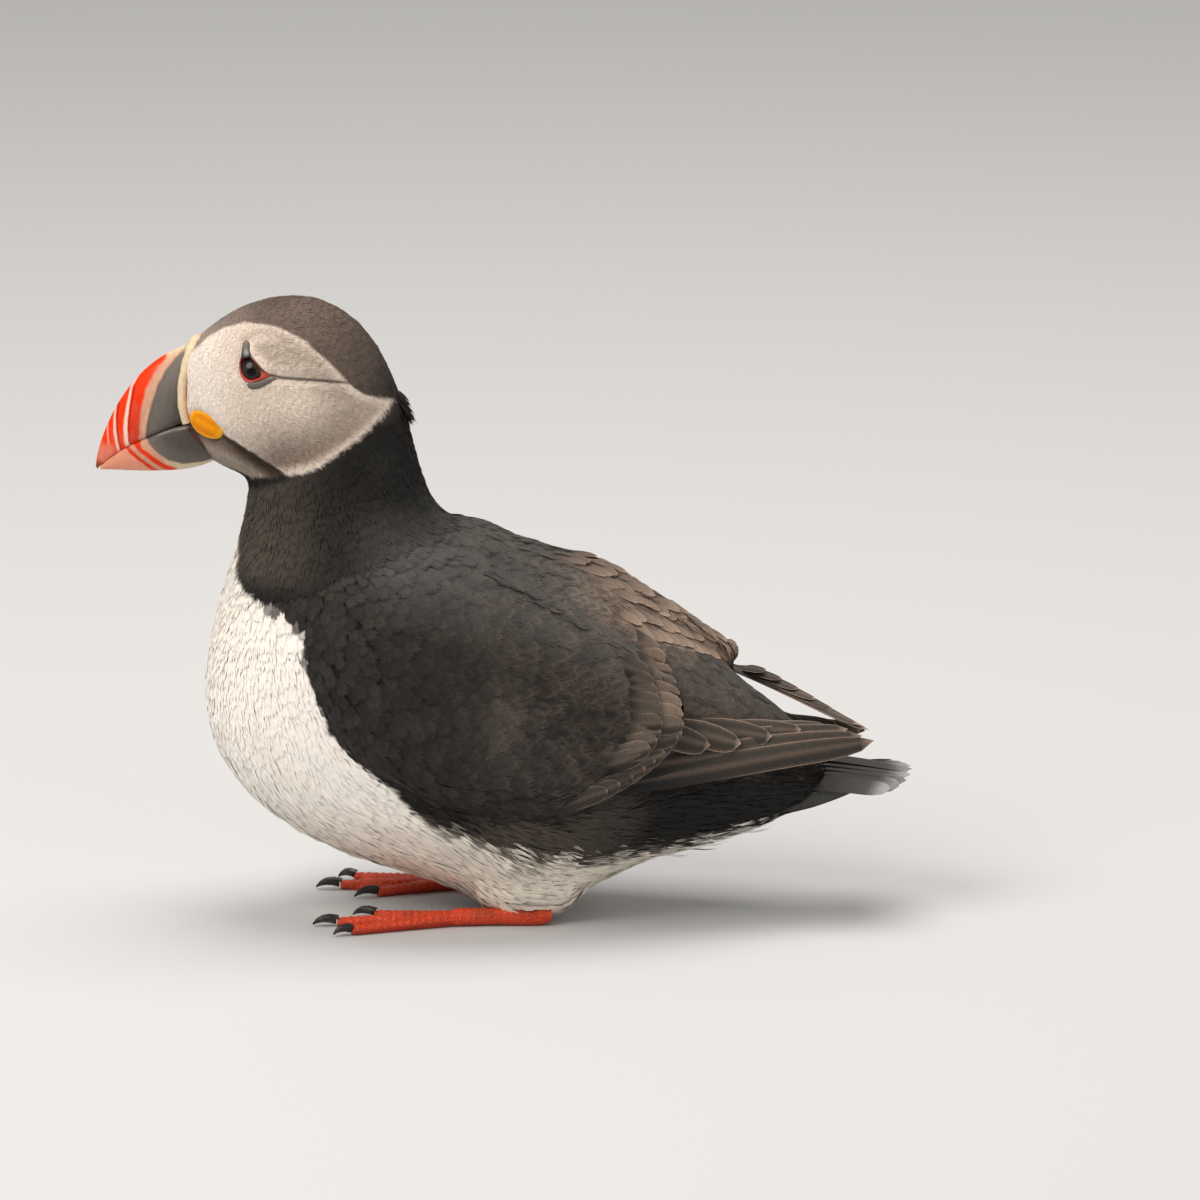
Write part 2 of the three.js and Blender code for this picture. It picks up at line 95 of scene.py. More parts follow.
# The upper edge of the dark wedge that runs back from the gape
MALAR = [
    (-88, 144), (-84, 142.9), (-80.5, 141.8), (-76.9, 139.9), (-72, 136.7), (-67.7, 133.7), (-62.5, 130.2),
]
# The edge of the dark plumage: round the collar, along the wing, the flank and under the tail
DARK = [
    (-120, 110.7), (-76.5, 110.7), (-76.3, 106.4), (-76.6, 101.9), (-76.2, 98.2), (-74, 96.3),
    (-69.9, 94.2), (-67.2, 92.7), (-63.6, 91.4), (-59, 88.7), (-56.3, 86.3), (-57.7, 84.5),
    (-56.3, 77.4), (-54, 71), (-49.3, 58.7), (-42, 51), (-33.6, 44.1), (-27.8, 38.1), (-22.5, 32.1),
    (-15.3, 27), (-12, 29.2), (-7, 25), (1.7, 22.3), (8, 20.5), (15.4, 21.7), (22.5, 20.8), (28.5, 19.5),
    (38.2, 21.7), (55.9, 23.9), (89.8, 32.1), (130, 38), (130, 220), (-120, 220),
]
# Lower edge of the folded wing, the borders of mantle and rump, and the lower edges of head and neck
WING_EDGE = [
    (-57.6, 85.5), (-54.7, 73.2), (-49.3, 58.7), (-33.6, 44.1), (-23.9, 38.5), (-9.3, 34.7),
    (14, 36.8), (26.8, 39.6), (43.6, 41.8), (60, 43), (90, 49), (130, 52),
]
MANTLE_EDGE = [(-70, 112), (-20, 97), (20, 84), (60, 64), (100, 50)]
RUMP_EDGE = [(0, 60), (30, 66), (44, 74), (60, 73), (70, 70)]
HEAD_EDGE = [(-90, 116), (-84, 118), (-50, 134.3), (-20, 150.5)]
NECK_EDGE = [(-110, 82), (-90, 90), (-14, 119), (0, 124)]
# The crease behind the eye, and the brow over it
CREASE = [(-67, 158.9), (-63, 158.1), (-57.3, 157.6), (-51.6, 157.1), (-44.5, 156.1)]
BROW = [(-74.3, 167.6), (-71, 169.6), (-65.8, 169.8), (-61, 168)]
# The middle of the eye, and the opening of the lids as (y, z) from there
EYE_MIDDLE = (-71.9, 161.2)
EYE_OPENING = [
    (-3.1, 0.2), (-2.9, 1.3), (-2.4, 2.2), (-1.5, 2.7), (-0.5, 2.5), (0.5, 1.7), (2.0, 0.3), (3.5, -1.1),
    (5.2, -2.3), (4.2, -2.9), (2.6, -3.5), (1.0, -4.1), (-0.3, -4.3), (-1.6, -3.8), (-2.6, -2.6),
    (-3.0, -1.2),
]
# The small horn plates over and under the eye: (y, z, half width)
PLATES = {
    "upper": [(-73, 162.9, 1.75), (-73.2, 164.2, 1.45), (-73.3, 165.7, 1.15), (-73.3, 167.7, 0.8)],
    "lower": [
        (-73, 156.1, 0.8), (-71.3, 155.9, 1.0), (-69.2, 156.4, 0.95), (-67, 157.3, 0.7), (-64.4, 158, 0.3),
    ],
}
# The swollen fold behind the eye, and the painted shade round it
LID = [(-71.8, 165.2), (-70.7, 163.5), (-69.1, 161.5), (-67.1, 159.7)]
LID_SHADE = [
    (-71.5, 166), (-69, 168), (-63, 169.3), (-57, 167), (-51, 162.5), (-47.5, 158.4), (-56, 158.8),
    (-66, 160.4),
]
# A line through the body from the tail to the bill, round which the bake map is unrolled
SPINE = [
    (92, 42), (60, 46), (20, 52), (-20, 60), (-46, 78), (-54, 104), (-57, 130), (-68, 150), (-92, 152),
]
# How the coat lies: (y, z), and the way that feathers point there as (out to the side, y, z)
LIE = [
    ((-88, 167), (0.3, 0.8, 0.5)), ((-78, 174), (0.1, 0.9, 0.4)), ((-64, 179), (0, 1, 0)),
    ((-48, 176), (0, 0.9, -0.45)), ((-36, 163), (0, 0.55, -0.85)), ((-28, 146), (0, 0.25, -1)),
    ((-86, 155), (0.5, 1, 0)), ((-72, 163), (0, 1, 0.1)), ((-60, 158), (0, 1, -0.06)),
    ((-62, 146), (0.2, 1, -0.15)), ((-46, 150), (0, 1, -0.25)), ((-42, 142), (0, 0.8, -0.6)),
    ((-80, 140), (0.3, 1, -0.35)), ((-80, 131), (0, 0.9, -0.5)), ((-66, 131), (0, 0.9, -0.35)),
    ((-75, 120), (0, 0.1, -1)), ((-50, 122), (0, 0.2, -1)), ((-27, 135), (0, 0.25, -1)),
    ((-78, 104), (0, -0.05, -1)), ((-52, 104), (0, 0.3, -1)), ((-26, 124), (0, 0.6, -0.9)),
    ((-12, 113), (0, 1, -0.3)), ((14, 104), (0, 1, -0.4)), ((36, 92), (0, 1, -0.55)),
    ((60, 74), (0, 1, -0.6)), ((84, 52), (0, 1, -0.5)), ((-30, 96), (0, 0.9, -0.6)),
    ((-50, 86), (0, 0.6, -0.9)),
    ((-46, 70), (0, 0.7, -0.8)), ((-34, 54), (0, 0.9, -0.6)), ((-14, 42), (0, 1, -0.18)),
    ((10, 41), (0, 1, 0.16)), ((30, 46), (0, 1, 0.36)), ((44, 54), (0, 1, 0.4)), ((-10, 80), (0, 1, -0.5)),
    ((-10, 60), (0, 1, -0.25)), ((14, 62), (0, 1, -0.1)), ((20, 84), (0, 1, -0.5)),
    ((40, 74), (0, 1, -0.45)),
    ((36, 62), (0, 1, 0)), ((-84, 84), (0, 0.05, -1)), ((-87, 62), (0, 0.15, -1)), ((-68, 78), (0, 0.3, -1)),
    ((-64, 56), (0, 0.5, -0.9)), ((-80, 42), (0, 0.5, -0.9)), ((-66, 28), (0, 0.85, -0.5)),
    ((-44, 18), (0, 1, -0.25)), ((-40, 32), (0, 0.9, -0.45)), ((-16, 10), (0, 1, -0.1)),
    ((-14, 26), (0, 0.9, -0.5)), ((8, 5), (0, 1, 0)), ((10, 24), (0, 0.85, -0.55)), ((30, 10), (0, 1, 0.1)),
    ((34, 24), (0, 1, -0.35)), ((55, 20), (0, 1, 0.15)), ((60, 30), (0, 1, -0.15)), ((80, 32), (0, 1, 0.1)),
    ((70, 44), (0, 1, -0.2)),
]
# (y, z), how deep the coat is there, and how long its feathers are, in mm
COAT = [
    ((-88, 158), 0.3, 1.7), ((-86, 148), 0.3, 1.8), ((-72, 161), 0.35, 1.8), ((-60, 163), 0.4, 2.6),
    ((-60, 148), 0.45, 3.0), ((-44, 148), 0.55, 3.8), ((-84, 168), 0.35, 2.0), ((-66, 178), 0.5, 2.8),
    ((-42, 170), 0.6, 3.6), ((-30, 150), 0.9, 4.8), ((-80, 133), 0.4, 2.4), ((-62, 131), 0.6, 3.4),
    ((-72, 116), 0.8, 4.8), ((-50, 118), 0.8, 5.4), ((-28, 126), 0.8, 6.0), ((-76, 98), 0.9, 6.4),
    ((-52, 96), 0.9, 7.4), ((-14, 112), 0.9, 9.5), ((14, 104), 1.0, 11.5), ((40, 88), 1.0, 12.5),
    ((66, 66), 1.1, 11.0), ((84, 48), 1.2, 10.0), ((-86, 64), 0.9, 7.5), ((-74, 34), 0.9, 8.5),
    ((-40, 18), 1.1, 9.0), ((0, 6), 1.2, 9.0), ((36, 16), 1.6, 10.5), ((70, 30), 1.6, 11.0),
    ((-52, 78), 0.8, 6.5), ((-40, 60), 0.9, 7.5), ((-16, 60), 0.9, 9.5), ((-14, 84), 0.9, 9.5),
    ((14, 60), 0.9, 11.5), ((36, 66), 0.9, 12.5), ((10, 42), 0.9, 11.0), ((-60, 50), 0.9, 8.0),
    ((-10, 24), 1.3, 10.0),
]
# Bands of the upper bill, from its base forward, and its grooves as (line, half width)
PLATE_EDGE = [
    (-90.6, 166), (-92.3, 162.6), (-94.9, 159.6), (-96.9, 156.8), (-98.6, 153.5), (-99.9, 149.7),
    (-100.9, 146.8), (-101.8, 142.4), (-102.3, 138),
]
BAND_EDGE = [
    (-95, 165), (-96.4, 160.4), (-98.6, 158), (-100.2, 155.6), (-101.8, 152.4), (-102.9, 148.7),
    (-103.4, 145), (-103.8, 141.5), (-104.1, 137),
]
GROOVES = [
    ([(-104.2, 155.6), (-106.2, 152.5), (-107.1, 147.9), (-107.8, 143.5), (-108, 140.7), (-107.8, 136.9),
      (-107, 134)], 0.52),
    ([(-109.6, 150), (-110.7, 147.3), (-111.1, 143.3), (-111, 139.6), (-110.6, 136.7), (-109.8, 133)], 0.34),
    ([(-112.4, 144.5), (-113.1, 141.5), (-113.1, 138.5), (-112.8, 136)], 0.15),
]
# The same on the lower bill
LOWER_PLATE_EDGE = [
    (-102.3, 141), (-102.2, 139), (-101.2, 136.5), (-98.9, 133.9), (-95.5, 131.7), (-92.1, 130.5),
    (-85.8, 131), (-79, 133.2),
]
LOWER_BAND_EDGE = [(-104.2, 139), (-103.2, 135.1), (-100, 132.6), (-96.6, 130.3), (-93.8, 128.9), (-92, 127)]
LOWER_RED_EDGE = [(-106.2, 138), (-105.6, 135.9), (-103.5, 133.6), (-99.8, 130.5), (-95.5, 127.5)]
LOWER_GROOVE_EDGE = [(-107.3, 137), (-107, 135.5), (-104.8, 133.1), (-101.7, 130.6), (-98, 127.5)]
LOWER_LINE_EDGE = [(-108.6, 136), (-108.1, 135), (-105.4, 132.2), (-102.6, 130), (-99.5, 127.5)]
# A pale line along the ridge, a painted highlight along the lower lip, the fold of the gape, and the tip of
# the bill
RIDGE_LINE = [(-84, 167), (-90, 165.6), (-96, 162.6), (-100, 159.6)]
LIP_LINE = [(-88, 141.9), (-94.4, 140.7), (-99.4, 138.8), (-102, 137.8)]
GAPE_LINE = [(-89.8, 140.9), (-87.2, 137.8), (-84.4, 134.8), (-82.1, 132.9)]
BILL_TIP = (-116.6, 128.6)
BILL_HOOK = (-113.8, 132.6)
# Stations of each mandible: ridge or keel (y, z), edge of the mouth (y, z), half width, fullness below
UPPER_BILL = [
    (-86.4, 165.4, -89, 143, 4.6, 0.2), (-90, 164.6, -92.4, 141.9, 6.5, 0.36),
    (-98.6, 160.2, -98.6, 139.3, 5.4, 0.36), (-105.2, 154.2, -103.6, 137, 4.3, 0.34),
    (-110.2, 147.2, -108.2, 134.5, 3.1, 0.3), (-113.8, 139.8, -112, 132, 2.1, 0.2),
    (-115.9, 133.4, -114.6, 129.9, 1.3, 0), (-116.6, 129.3, -116.2, 128.3, 0.6, 0),
]
LOWER_BILL = [
    (-81.5, 131.5, -85.5, 142.3, 6.1, 0.2), (-86.4, 129.4, -89.8, 142.6, 6.6, 0.24),
    (-92, 128.2, -94.4, 141.3, 6.1, 0.26), (-98.6, 127.8, -99.4, 139.3, 5.1, 0.28),
    (-105, 127.8, -104.8, 136.8, 3.8, 0.28), (-110, 128, -109.6, 133.9, 2.6, 0.24),
    (-113.6, 128.1, -113.2, 131.2, 1.4, 0.1), (-115.4, 128.1, -115.2, 129.2, 0.6, 0),
]
# The raised rim at the base of the upper bill, from the gape up to the ridge: (x, y, z)
RIM = [
    (7.7, -90.3, 143), (7.7, -91.2, 146), (7.3, -91.7, 150), (6.4, -91.5, 154.5), (5, -90.6, 159),
    (3.2, -89.2, 163.2), (0, -87.6, 166.2),
]
RIM_LINE = [(y, z) for _, y, z in reversed(RIM)]
# The fleshy fold at the corner of the mouth; its tilt and turn are in radians
ROSETTE = SimpleNamespace(
    middle=(11.6, -84.4, 143.5), length=11.8, height=7.2, depth=4.6, tilt=0.4, turn=0.5,
)


def linear(code):
    """The linear colour of an sRGB hex code."""
    parts = [int(code[i:i + 2], 16) / 255 for i in (1, 3, 5)]
    return tuple(c / 12.92 if c <= 0.04045 else ((c + 0.055) / 1.055) ** 2.4 for c in parts)


# ---- what a user may change ----------------------------------------------------------------------
def colour(name, description, code):
    return bpy.props.FloatVectorProperty(
        name=name, description=description, subtype="COLOR", min=0, max=1, default=linear(code)
    )


def length(name, description, millimetres):
    return bpy.props.FloatProperty(
        name=name, description=description, default=millimetres * MM, min=0, unit="LENGTH",
        subtype="DISTANCE",
    )


class PuffinSizes(bpy.types.PropertyGroup):
    """The measures that a user may change"""

    skin_grain: length("Skin grain", "Size of the faces of the skin", 1.3)
    skin_fine_grain: length("Fine grain", "Size of the faces of small fleshy pieces", 0.5)
    down_spacing: length("Down spacing", "Distance between the tufts of the face", 1.0)
    neck_spacing: length("Neck spacing", "Distance between the tufts of the neck", 1.45)
    breast_spacing: length("Breast spacing", "Distance between the tufts of breast and belly", 1.9)
    vane_spacing: length("Vane spacing", "Distance between the feathers of back and wings", 2.7)
    eye_radius: length("Eye radius", "Radius of each eyeball", 5.0)
    camera_distance: length("Camera distance", "From the camera to the bird", 3800)


class PuffinColours(bpy.types.PropertyGroup):
    """The colours that a user may change"""

    dark: colour("Dark plumage", "Black-brown of the neck, back and wings", "#1e1d1c")
    # Slate is partly the blue cast of fresh dark feathers and partly a painted bluish sheen
    slate: colour("Slate", "Fresh dark feathers with a blue cast", "#434342")
    faded: colour("Faded", "Worn brown feathers of the wings", "#514a43")
    fringe: colour("Fringe", "Pale worn edges of the wing feathers", "#b39b8a")
    cap: colour("Cap", "Grey-brown of the crown", "#6a5d55")
    face: colour("Face", "Pale grey of the cheeks", "#ded0c3")
    # The face shade is partly the duller grey of the cheeks and partly painted shade, laid low and far back
    # on the cheeks, under the brow and round the eye
    face_shade: colour("Face shade", "Duller grey low on the cheeks", "#7d6d60")
    malar: colour("Malar", "Dark wedge from the gape to the throat", "#3a3129")
    breast: colour("Breast", "White of the breast", "#fbf7f1")
    belly: colour("Belly", "Cream of the belly", "#efe6d8")
    bill_red: colour("Bill red", "Orange-red of the fore part of the bill", "#ea3706")
    bill_plate: colour("Bill plate", "Slate grey of the base of the bill", "#57524e")
    bill_band: colour("Bill band", "Cream band between grey and red", "#c99a82")
    rim: colour("Rim", "Cream-yellow rim round the bill", "#d3c3a2")
    rosette: colour("Rosette", "Orange fold at the gape", "#dc8b02")
    eye_ring: colour("Eye ring", "Red lid", "#b02a26")
    iris: colour("Iris", "Dark brown iris", "#2e2925")
    horn: colour("Horn", "Blue-grey plates round the eye", "#5d5a55")
    foot: colour("Foot", "Orange-red of the legs and webs", "#e0461a")
    claw: colour("Claw", "Black-brown claws", "#211b18")


def palette():
    """The colours as arrays, by name."""
    group = bpy.context.scene.puffin_colours
    return SimpleNamespace(**{key: np.array(getattr(group, key)) for key in PuffinColours.__annotations__})


def sizes():
    """The sizes in mm, by name."""
    group = bpy.context.scene.puffin_sizes
    return SimpleNamespace(**{key: getattr(group, key) / MM for key in PuffinSizes.__annotations__})


# ---- small sums ----------------------------------------------------------------------------------
def ramp(low, high, value):
    """0 below low, 1 above high, and smooth between."""
    share = np.clip((value - low) / (high - low), 0, 1)
    return share * share * (3 - 2 * share)


def mixed(a, b, share):
    """From colour or place a to b, one share for each row."""
    return a + (np.asarray(b) - a) * np.asarray(share)[..., None]


def even(tone, points):
    """The same colour or way for each of the points."""
    return np.tile(tone, (len(points), 1))


def unit(vectors):
    return vectors / np.maximum(np.linalg.norm(vectors, axis=-1, keepdims=True), 1e-9)


def along(stations, share):
    """Points on a smooth curve through the stations, at each share of its length from 0 to 1."""
    pts = np.asarray(stations, float)
    pts = np.vstack([2 * pts[0] - pts[1], pts, 2 * pts[-1] - pts[-2]])
    spot = np.clip(np.atleast_1d(share), 0, 1) * (len(pts) - 3)
    i = np.minimum(spot.astype(int), len(pts) - 4)
    f = (spot - i)[:, None]
    a, b, c, d = pts[i], pts[i + 1], pts[i + 2], pts[i + 3]
    return 0.5 * (2 * b + (c - a) * f + (2 * a - 5 * b + 4 * c - d) * f**2 + (3 * b - a - 3 * c + d) * f**3)


def line_distance(places, line):
    """How far each (y, z) is from a line, and its share of the way along the line."""
    line = np.asarray(line, float)
    best = np.full(len(places), 1e9)
    share = np.zeros(len(places))
    for i, (a, b) in enumerate(zip(line[:-1], line[1:])):
        t = np.clip((places - a) @ (b - a) / ((b - a) @ (b - a)), 0, 1)
        far = np.linalg.norm(places - a - t[:, None] * (b - a), axis=1)
        share = np.where(far < best, (i + t) / (len(line) - 1), share)
        best = np.minimum(best, far)
    return best, share


def inside(places, outline):
    """How far each (y, z) lies inside a closed outline; negative outside it."""
    outline = np.asarray(outline, float)
    ring = np.vstack([outline, outline[:1]])
    far, _ = line_distance(places, ring)
    is_in = np.zeros(len(places), bool)
    y, z = places[:, 0], places[:, 1]
    for a, b in zip(ring[:-1], ring[1:]):
        if a[1] != b[1]:
            is_in ^= ((a[1] > z) != (b[1] > z)) & (y < a[0] + (z - a[1]) * (b[0] - a[0]) / (b[1] - a[1]))
    return np.where(is_in, far, -far)


def above(places, line):
    """How far above a line, which runs from front to back, each (y, z) lies."""
    line = np.asarray(line, float)
    return places[:, 1] - np.interp(places[:, 0], line[:, 0], line[:, 1])


def mottle(points, size, seed):
    """Smooth noise from -1 to 1, in patches of about that size."""
    spot = np.asarray(points) / size
    cell = np.floor(spot).astype(np.int64)
    part = spot - cell
    part = part * part * (3 - 2 * part)
    total = np.zeros(len(spot))
    for corner in np.ndindex(2, 2, 2):
        knot = cell + corner
        mix = (knot[:, 0] * 73856093) ^ (knot[:, 1] * 19349663) ^ (knot[:, 2] * 83492791) ^ (seed * 7919)
        mix = (mix ^ (mix >> 13)) * 1274126177 & 0xFFFFFF
        total += (mix / 0x7FFFFF - 1) * np.prod(np.where(corner, part, 1 - part), axis=1)
    return total


def weighed(places, anchors, values, reach):
    """Values at the anchors spread smoothly over all places."""
    gaps = ((places[:, None, :] - np.asarray(anchors, float)[None]) ** 2).sum(2)
    weights = np.exp(-(gaps - gaps.min(1, keepdims=True)) / (2 * reach**2))
    return weights @ np.asarray(values, float) / weights.sum(1, keepdims=True)


# ---- markings ------------------------------------------------------------------------------------
def side_view(points):
    """(y, z) of each point, with the higher right wing brought down to the left one's level."""
    x, y, z = points.T
    on_wing = ramp(8, 22, -x) * ramp(96, 80, z) * ramp(-56, -44, y) * ramp(24, 34, z)
    return np.stack([y, z - RIGHT_WING_RISE * on_wing], axis=1)


def plumage(points):
    """The colour of the coat at each point."""
    x, y, z = points.T
    hue = palette()
    places = side_view(points)
    ragged = mottle(points, 1.6, 1) * 0.5 + mottle(points, 0.8, 2) * 0.25
    soft = mottle(points, 9, 3)
    worn = mottle(points, 16, 4)

    result = mixed(even(hue.breast, points), hue.belly, ramp(46, 14, z))
    result = mixed(result, hue.belly, 0.35 * ramp(0.1, 0.9, soft))

    dark = even(hue.dark, points)
    # The mantle, and soft patches elsewhere, take the slate tone: partly fresh feathers, partly a painted
    # bluish sheen and painted top light
    on_mantle = ramp(-12, 5, above(places, MANTLE_EDGE))
    on_mantle = on_mantle * ramp(-52, -30, y) * ramp(126, 112, z)
    dark = mixed(dark, hue.slate, np.maximum(0.9 * on_mantle, 0.15 * ramp(-0.1, 0.7, soft)))
    dark = mixed(dark, hue.faded, 0.4 * ramp(0, 0.8, worn) * ramp(-24, -4, y))
    behind = ramp(8, 34, y) * ramp(-2, 6, above(places, RUMP_EDGE)) * ramp(30, 12, x)
    dark = mixed(dark, hue.faded, 0.8 * behind)
    far_end = ramp(50, 60, y) * ramp(60, 67, z) * ramp(0, -12, x)
    dark = mixed(dark, hue.fringe, 0.5 * far_end)
    under = ramp(-1, -6, above(places, WING_EDGE)) * ramp(44, 14, y)
    dark = mixed(dark, hue.faded, 0.9 * under)
    # The front of the neck turns browner and lighter: partly a brownish collar, partly a painted sheen
    throat_brown_and_sheen = ramp(-44, -72, y) * ramp(96, 104, z)
    dark = mixed(dark, hue.faded, 0.85 * throat_brown_and_sheen)
    stained = 1 + 4 * ramp(38, 30, z) * ramp(-28, -14, y)
    is_dark = ramp(-0.5, 0.5, (inside(places, DARK) + ragged * stained) / stained)
    result = mixed(result, dark, is_dark)

    on_head = above(places, HEAD_EDGE)
    cap = mixed(even(hue.cap, points), hue.face, 0.32 * ramp(-68, -87, y))
    cap = mixed(cap, hue.dark, 0.3 * ramp(-56, -40, y))
    cap = cap * (1 + 0.12 * soft + 0.1 * mottle(points, 3, 5))[:, None]
    to_nape = ramp(-44, -29, y) * ramp(170, 152, z)
    cap = mixed(cap, hue.dark, np.maximum(0.85 * to_nape, ramp(147, 143, z)))
    result = mixed(result, cap, ramp(-1, 1, on_head + ragged))

    in_face = inside(places, FACE)
    face = mixed(even(hue.face, points), hue.breast, 0.5 * ramp(-74, -86, y))
    # The lower and the rear cheek darken towards the face shade: partly their own duller grey, partly
    # painted shade
    low = ramp(152, 134, z) * ramp(0.3, 4, in_face)
    face = mixed(face, hue.face_shade, 0.9 * low * ramp(-78, -62, y))
    face = mixed(face, hue.face_shade, 0.55 * ramp(-60, -44, y) * ramp(0.3, 3, in_face))
    crease, _ = line_distance(places, CREASE)
    face = mixed(face, hue.malar, 0.75 * ramp(0.7, 0.15, crease))
    # A painted shade along the groove of the brow
    brow, _ = line_distance(places, BROW)
    face = mixed(face, hue.face_shade, 0.25 * ramp(1.8, 0.2, brow))
    # A painted shade round the fold behind the eye
    face = mixed(face, hue.face_shade, 0.5 * ramp(-1.5, 2.5, inside(places, LID_SHADE)))
    below = -above(places, MALAR) + ragged * 0.5
    to_chin = below + ramp(-70, -84, y) * 2
    chin = mixed(even(hue.malar, points), hue.face_shade, ramp(1.6, 6.0, to_chin))
    chin = mixed(chin, hue.face, 0.4 * ramp(3.5, 7, below))
    face = mixed(face, chin, ramp(-0.5, 0.5, below) * ramp(-60.5, -63.5, y))
    in_lids = inside(places - EYE_MIDDLE, EYE_OPENING)
    behind_eye = ramp(-69.6, -68.6, y)
    lid_skin = mixed(even(hue.eye_ring * 0.3, points), linear(EYE_CORNER_SKIN), behind_eye)
    face = mixed(face, lid_skin, ramp(-0.5, 0.1, in_lids))
    border = in_face + ragged * (0.2 + 0.5 * ramp(150, 140, z))
    return mixed(result, face, ramp(-0.35, 0.35, border))


def coat_depth(points):
    """How far the skin lies below the coat's surface, in mm."""
    return weighed(side_view(points), [c[0] for c in COAT], [[c[1]] for c in COAT], COAT_REACH)[:, 0]


def coat_length(points):
    """How long the feathers are, in mm."""
    return weighed(side_view(points), [c[0] for c in COAT], [[c[2]] for c in COAT], COAT_REACH)[:, 0]


def lie(points, normals):
    """The way that feathers point over the skin."""
    way = weighed(side_view(points), [a[0] for a in LIE], [a[1] for a in LIE], LIE_REACH)
    way[:, 0] *= np.tanh(points[:, 0] / 4)
    way = way - (way * normals).sum(1, keepdims=True) * normals
    return unit(way)


# ---- materials -----------------------------------------------------------------------------------
KERATIN_IOR = 1.54
# Most values of a noise pattern lie between these
NOISE_LOW, NOISE_HIGH = 0.3, 0.7
# Sets the streaks of one feather apart from those of another
BARB_SEED = 37.0


def node(tree, kind, inputs=None, **settings):
    """Adds a node. Inputs are values, or outputs of other nodes, by the name or number of the socket."""
    made = tree.nodes.new(kind)
    for name, value in settings.items():
        setattr(made, name, value)
    for name, value in (inputs or {}).items():
        if isinstance(value, bpy.types.NodeSocket):
            tree.links.new(value, made.inputs[name])
        else:
            made.inputs[name].default_value = value
    return made


def material(name, roughness, ior=1.5, **constants):
    """A new material and its tree; constants are sockets of its shader, with spaces as underscores."""
    made = bpy.data.materials.new(name)
    made.use_nodes = True
    shader = made.node_tree.nodes["Principled BSDF"]
    shader.inputs["Roughness"].default_value = roughness
    shader.inputs["IOR"].default_value = ior
    for key, value in constants.items():
        shader.inputs[key.replace("_", " ")].default_value = value
    return made, made.node_tree, shader


def patterned(tree, shader, pattern, low, high, strength=0.0, millimetres=0.0):
    """Gives a shader the tint of the piece, made darker and lighter by a pattern from 0 to 1, and bump
    of that height from the same pattern."""
    tint = node(tree, "ShaderNodeAttribute", attribute_name="tint")
    level = node(
        tree, "ShaderNodeMapRange",
        {"Value": pattern, "From Min": NOISE_LOW, "From Max": NOISE_HIGH, "To Min": low, "To Max": high},
    )
    shaded = {0: tint.outputs["Color"], "Scale": level.outputs[0]}
    tone = node(tree, "ShaderNodeVectorMath", shaded, operation="SCALE")
    tree.links.new(tone.outputs[0], shader.inputs["Base Color"])
    if strength:
        bump = {"Height": pattern, "Strength": strength, "Distance": millimetres * MM}
        tree.links.new(node(tree, "ShaderNodeBump", bump).outputs[0], shader.inputs["Normal"])


@functools.cache
def feather_finish(name, across, lengthwise, low, high, roughness):
    """Feather keratin: matt, with fine barbs that streak it. The barb attribute holds each point's
    place across and along its own feather in mm, and a number of the feather's own."""
    made, tree, shader = material(name, roughness, ior=KERATIN_IOR, Specular_IOR_Level=0.2)
    barb = node(tree, "ShaderNodeAttribute", attribute_name="barb")
    stretch = {0: barb.outputs["Vector"], 1: (across, lengthwise, BARB_SEED)}
    spread = node(tree, "ShaderNodeVectorMath", stretch, operation="MULTIPLY")
    streak = node(tree, "ShaderNodeTexNoise", {"Vector": spread.outputs[0], "Scale": 1.0, "Detail": 2.0})
    patterned(tree, shader, streak.outputs["Fac"], low, high, 0.2, 0.08)
    return made


def down_finish():
    """Short soft feather ends, whose loose barbs run the same way as the tuft, 0.3 mm apart."""
    return feather_finish("down_barbs", 3.0, 0.25, 0.94, 1.05, 0.85)


def vane_finish():
    """Firm contour feathers, whose barbs leave the shaft at a slant; drawn 0.5 mm apart to show."""
    return feather_finish("vane_barbs", 0.5, 2.0, 0.85, 1.13, 0.7)


@functools.cache
def skin_finish():
    """Feathered skin seen between tufts: the coat's own colour, matt, with a grain of 0.8 mm."""
    made, tree, shader = material("feathered_skin", 0.9, Specular_IOR_Level=0.1)
    place = node(tree, "ShaderNodeTexCoord").outputs["Object"]
    grain = node(tree, "ShaderNodeTexNoise", {"Vector": place, "Scale": 1 / (0.8 * MM), "Detail": 3.0})
    patterned(tree, shader, grain.outputs["Fac"], 0.9, 1.0, 0.5, 0.3)
    return made


@functools.cache
def horn_finish(name, roughness, grain_mm, low, high, bump, gloss=0.4):
    """Keratin horn: a waxy gloss over fine growth lines and worn scuffs of the given grain."""
    made, tree, shader = material(name, roughness, ior=KERATIN_IOR, Specular_IOR_Level=gloss)
    place = node(tree, "ShaderNodeTexCoord").outputs["Object"]
    lines = node(tree, "ShaderNodeVectorMath", {0: place, 1: (1.0, 1.6, 0.45)}, operation="MULTIPLY")
    growth = node(
        tree, "ShaderNodeTexNoise",
        {"Vector": lines.outputs[0], "Scale": 1 / (grain_mm * MM), "Detail": 5.0, "Roughness": 0.65},
    ).outputs["Fac"]
    patterned(tree, shader, growth, low, high, bump, 0.15)
    scuffs = {"From Min": NOISE_LOW, "From Max": NOISE_HIGH, "To Min": roughness - 0.08}
    rough = node(tree, "ShaderNodeMapRange", {"Value": growth, "To Max": roughness + 0.12, **scuffs})
    tree.links.new(rough.outputs[0], shader.inputs["Roughness"])
    return made


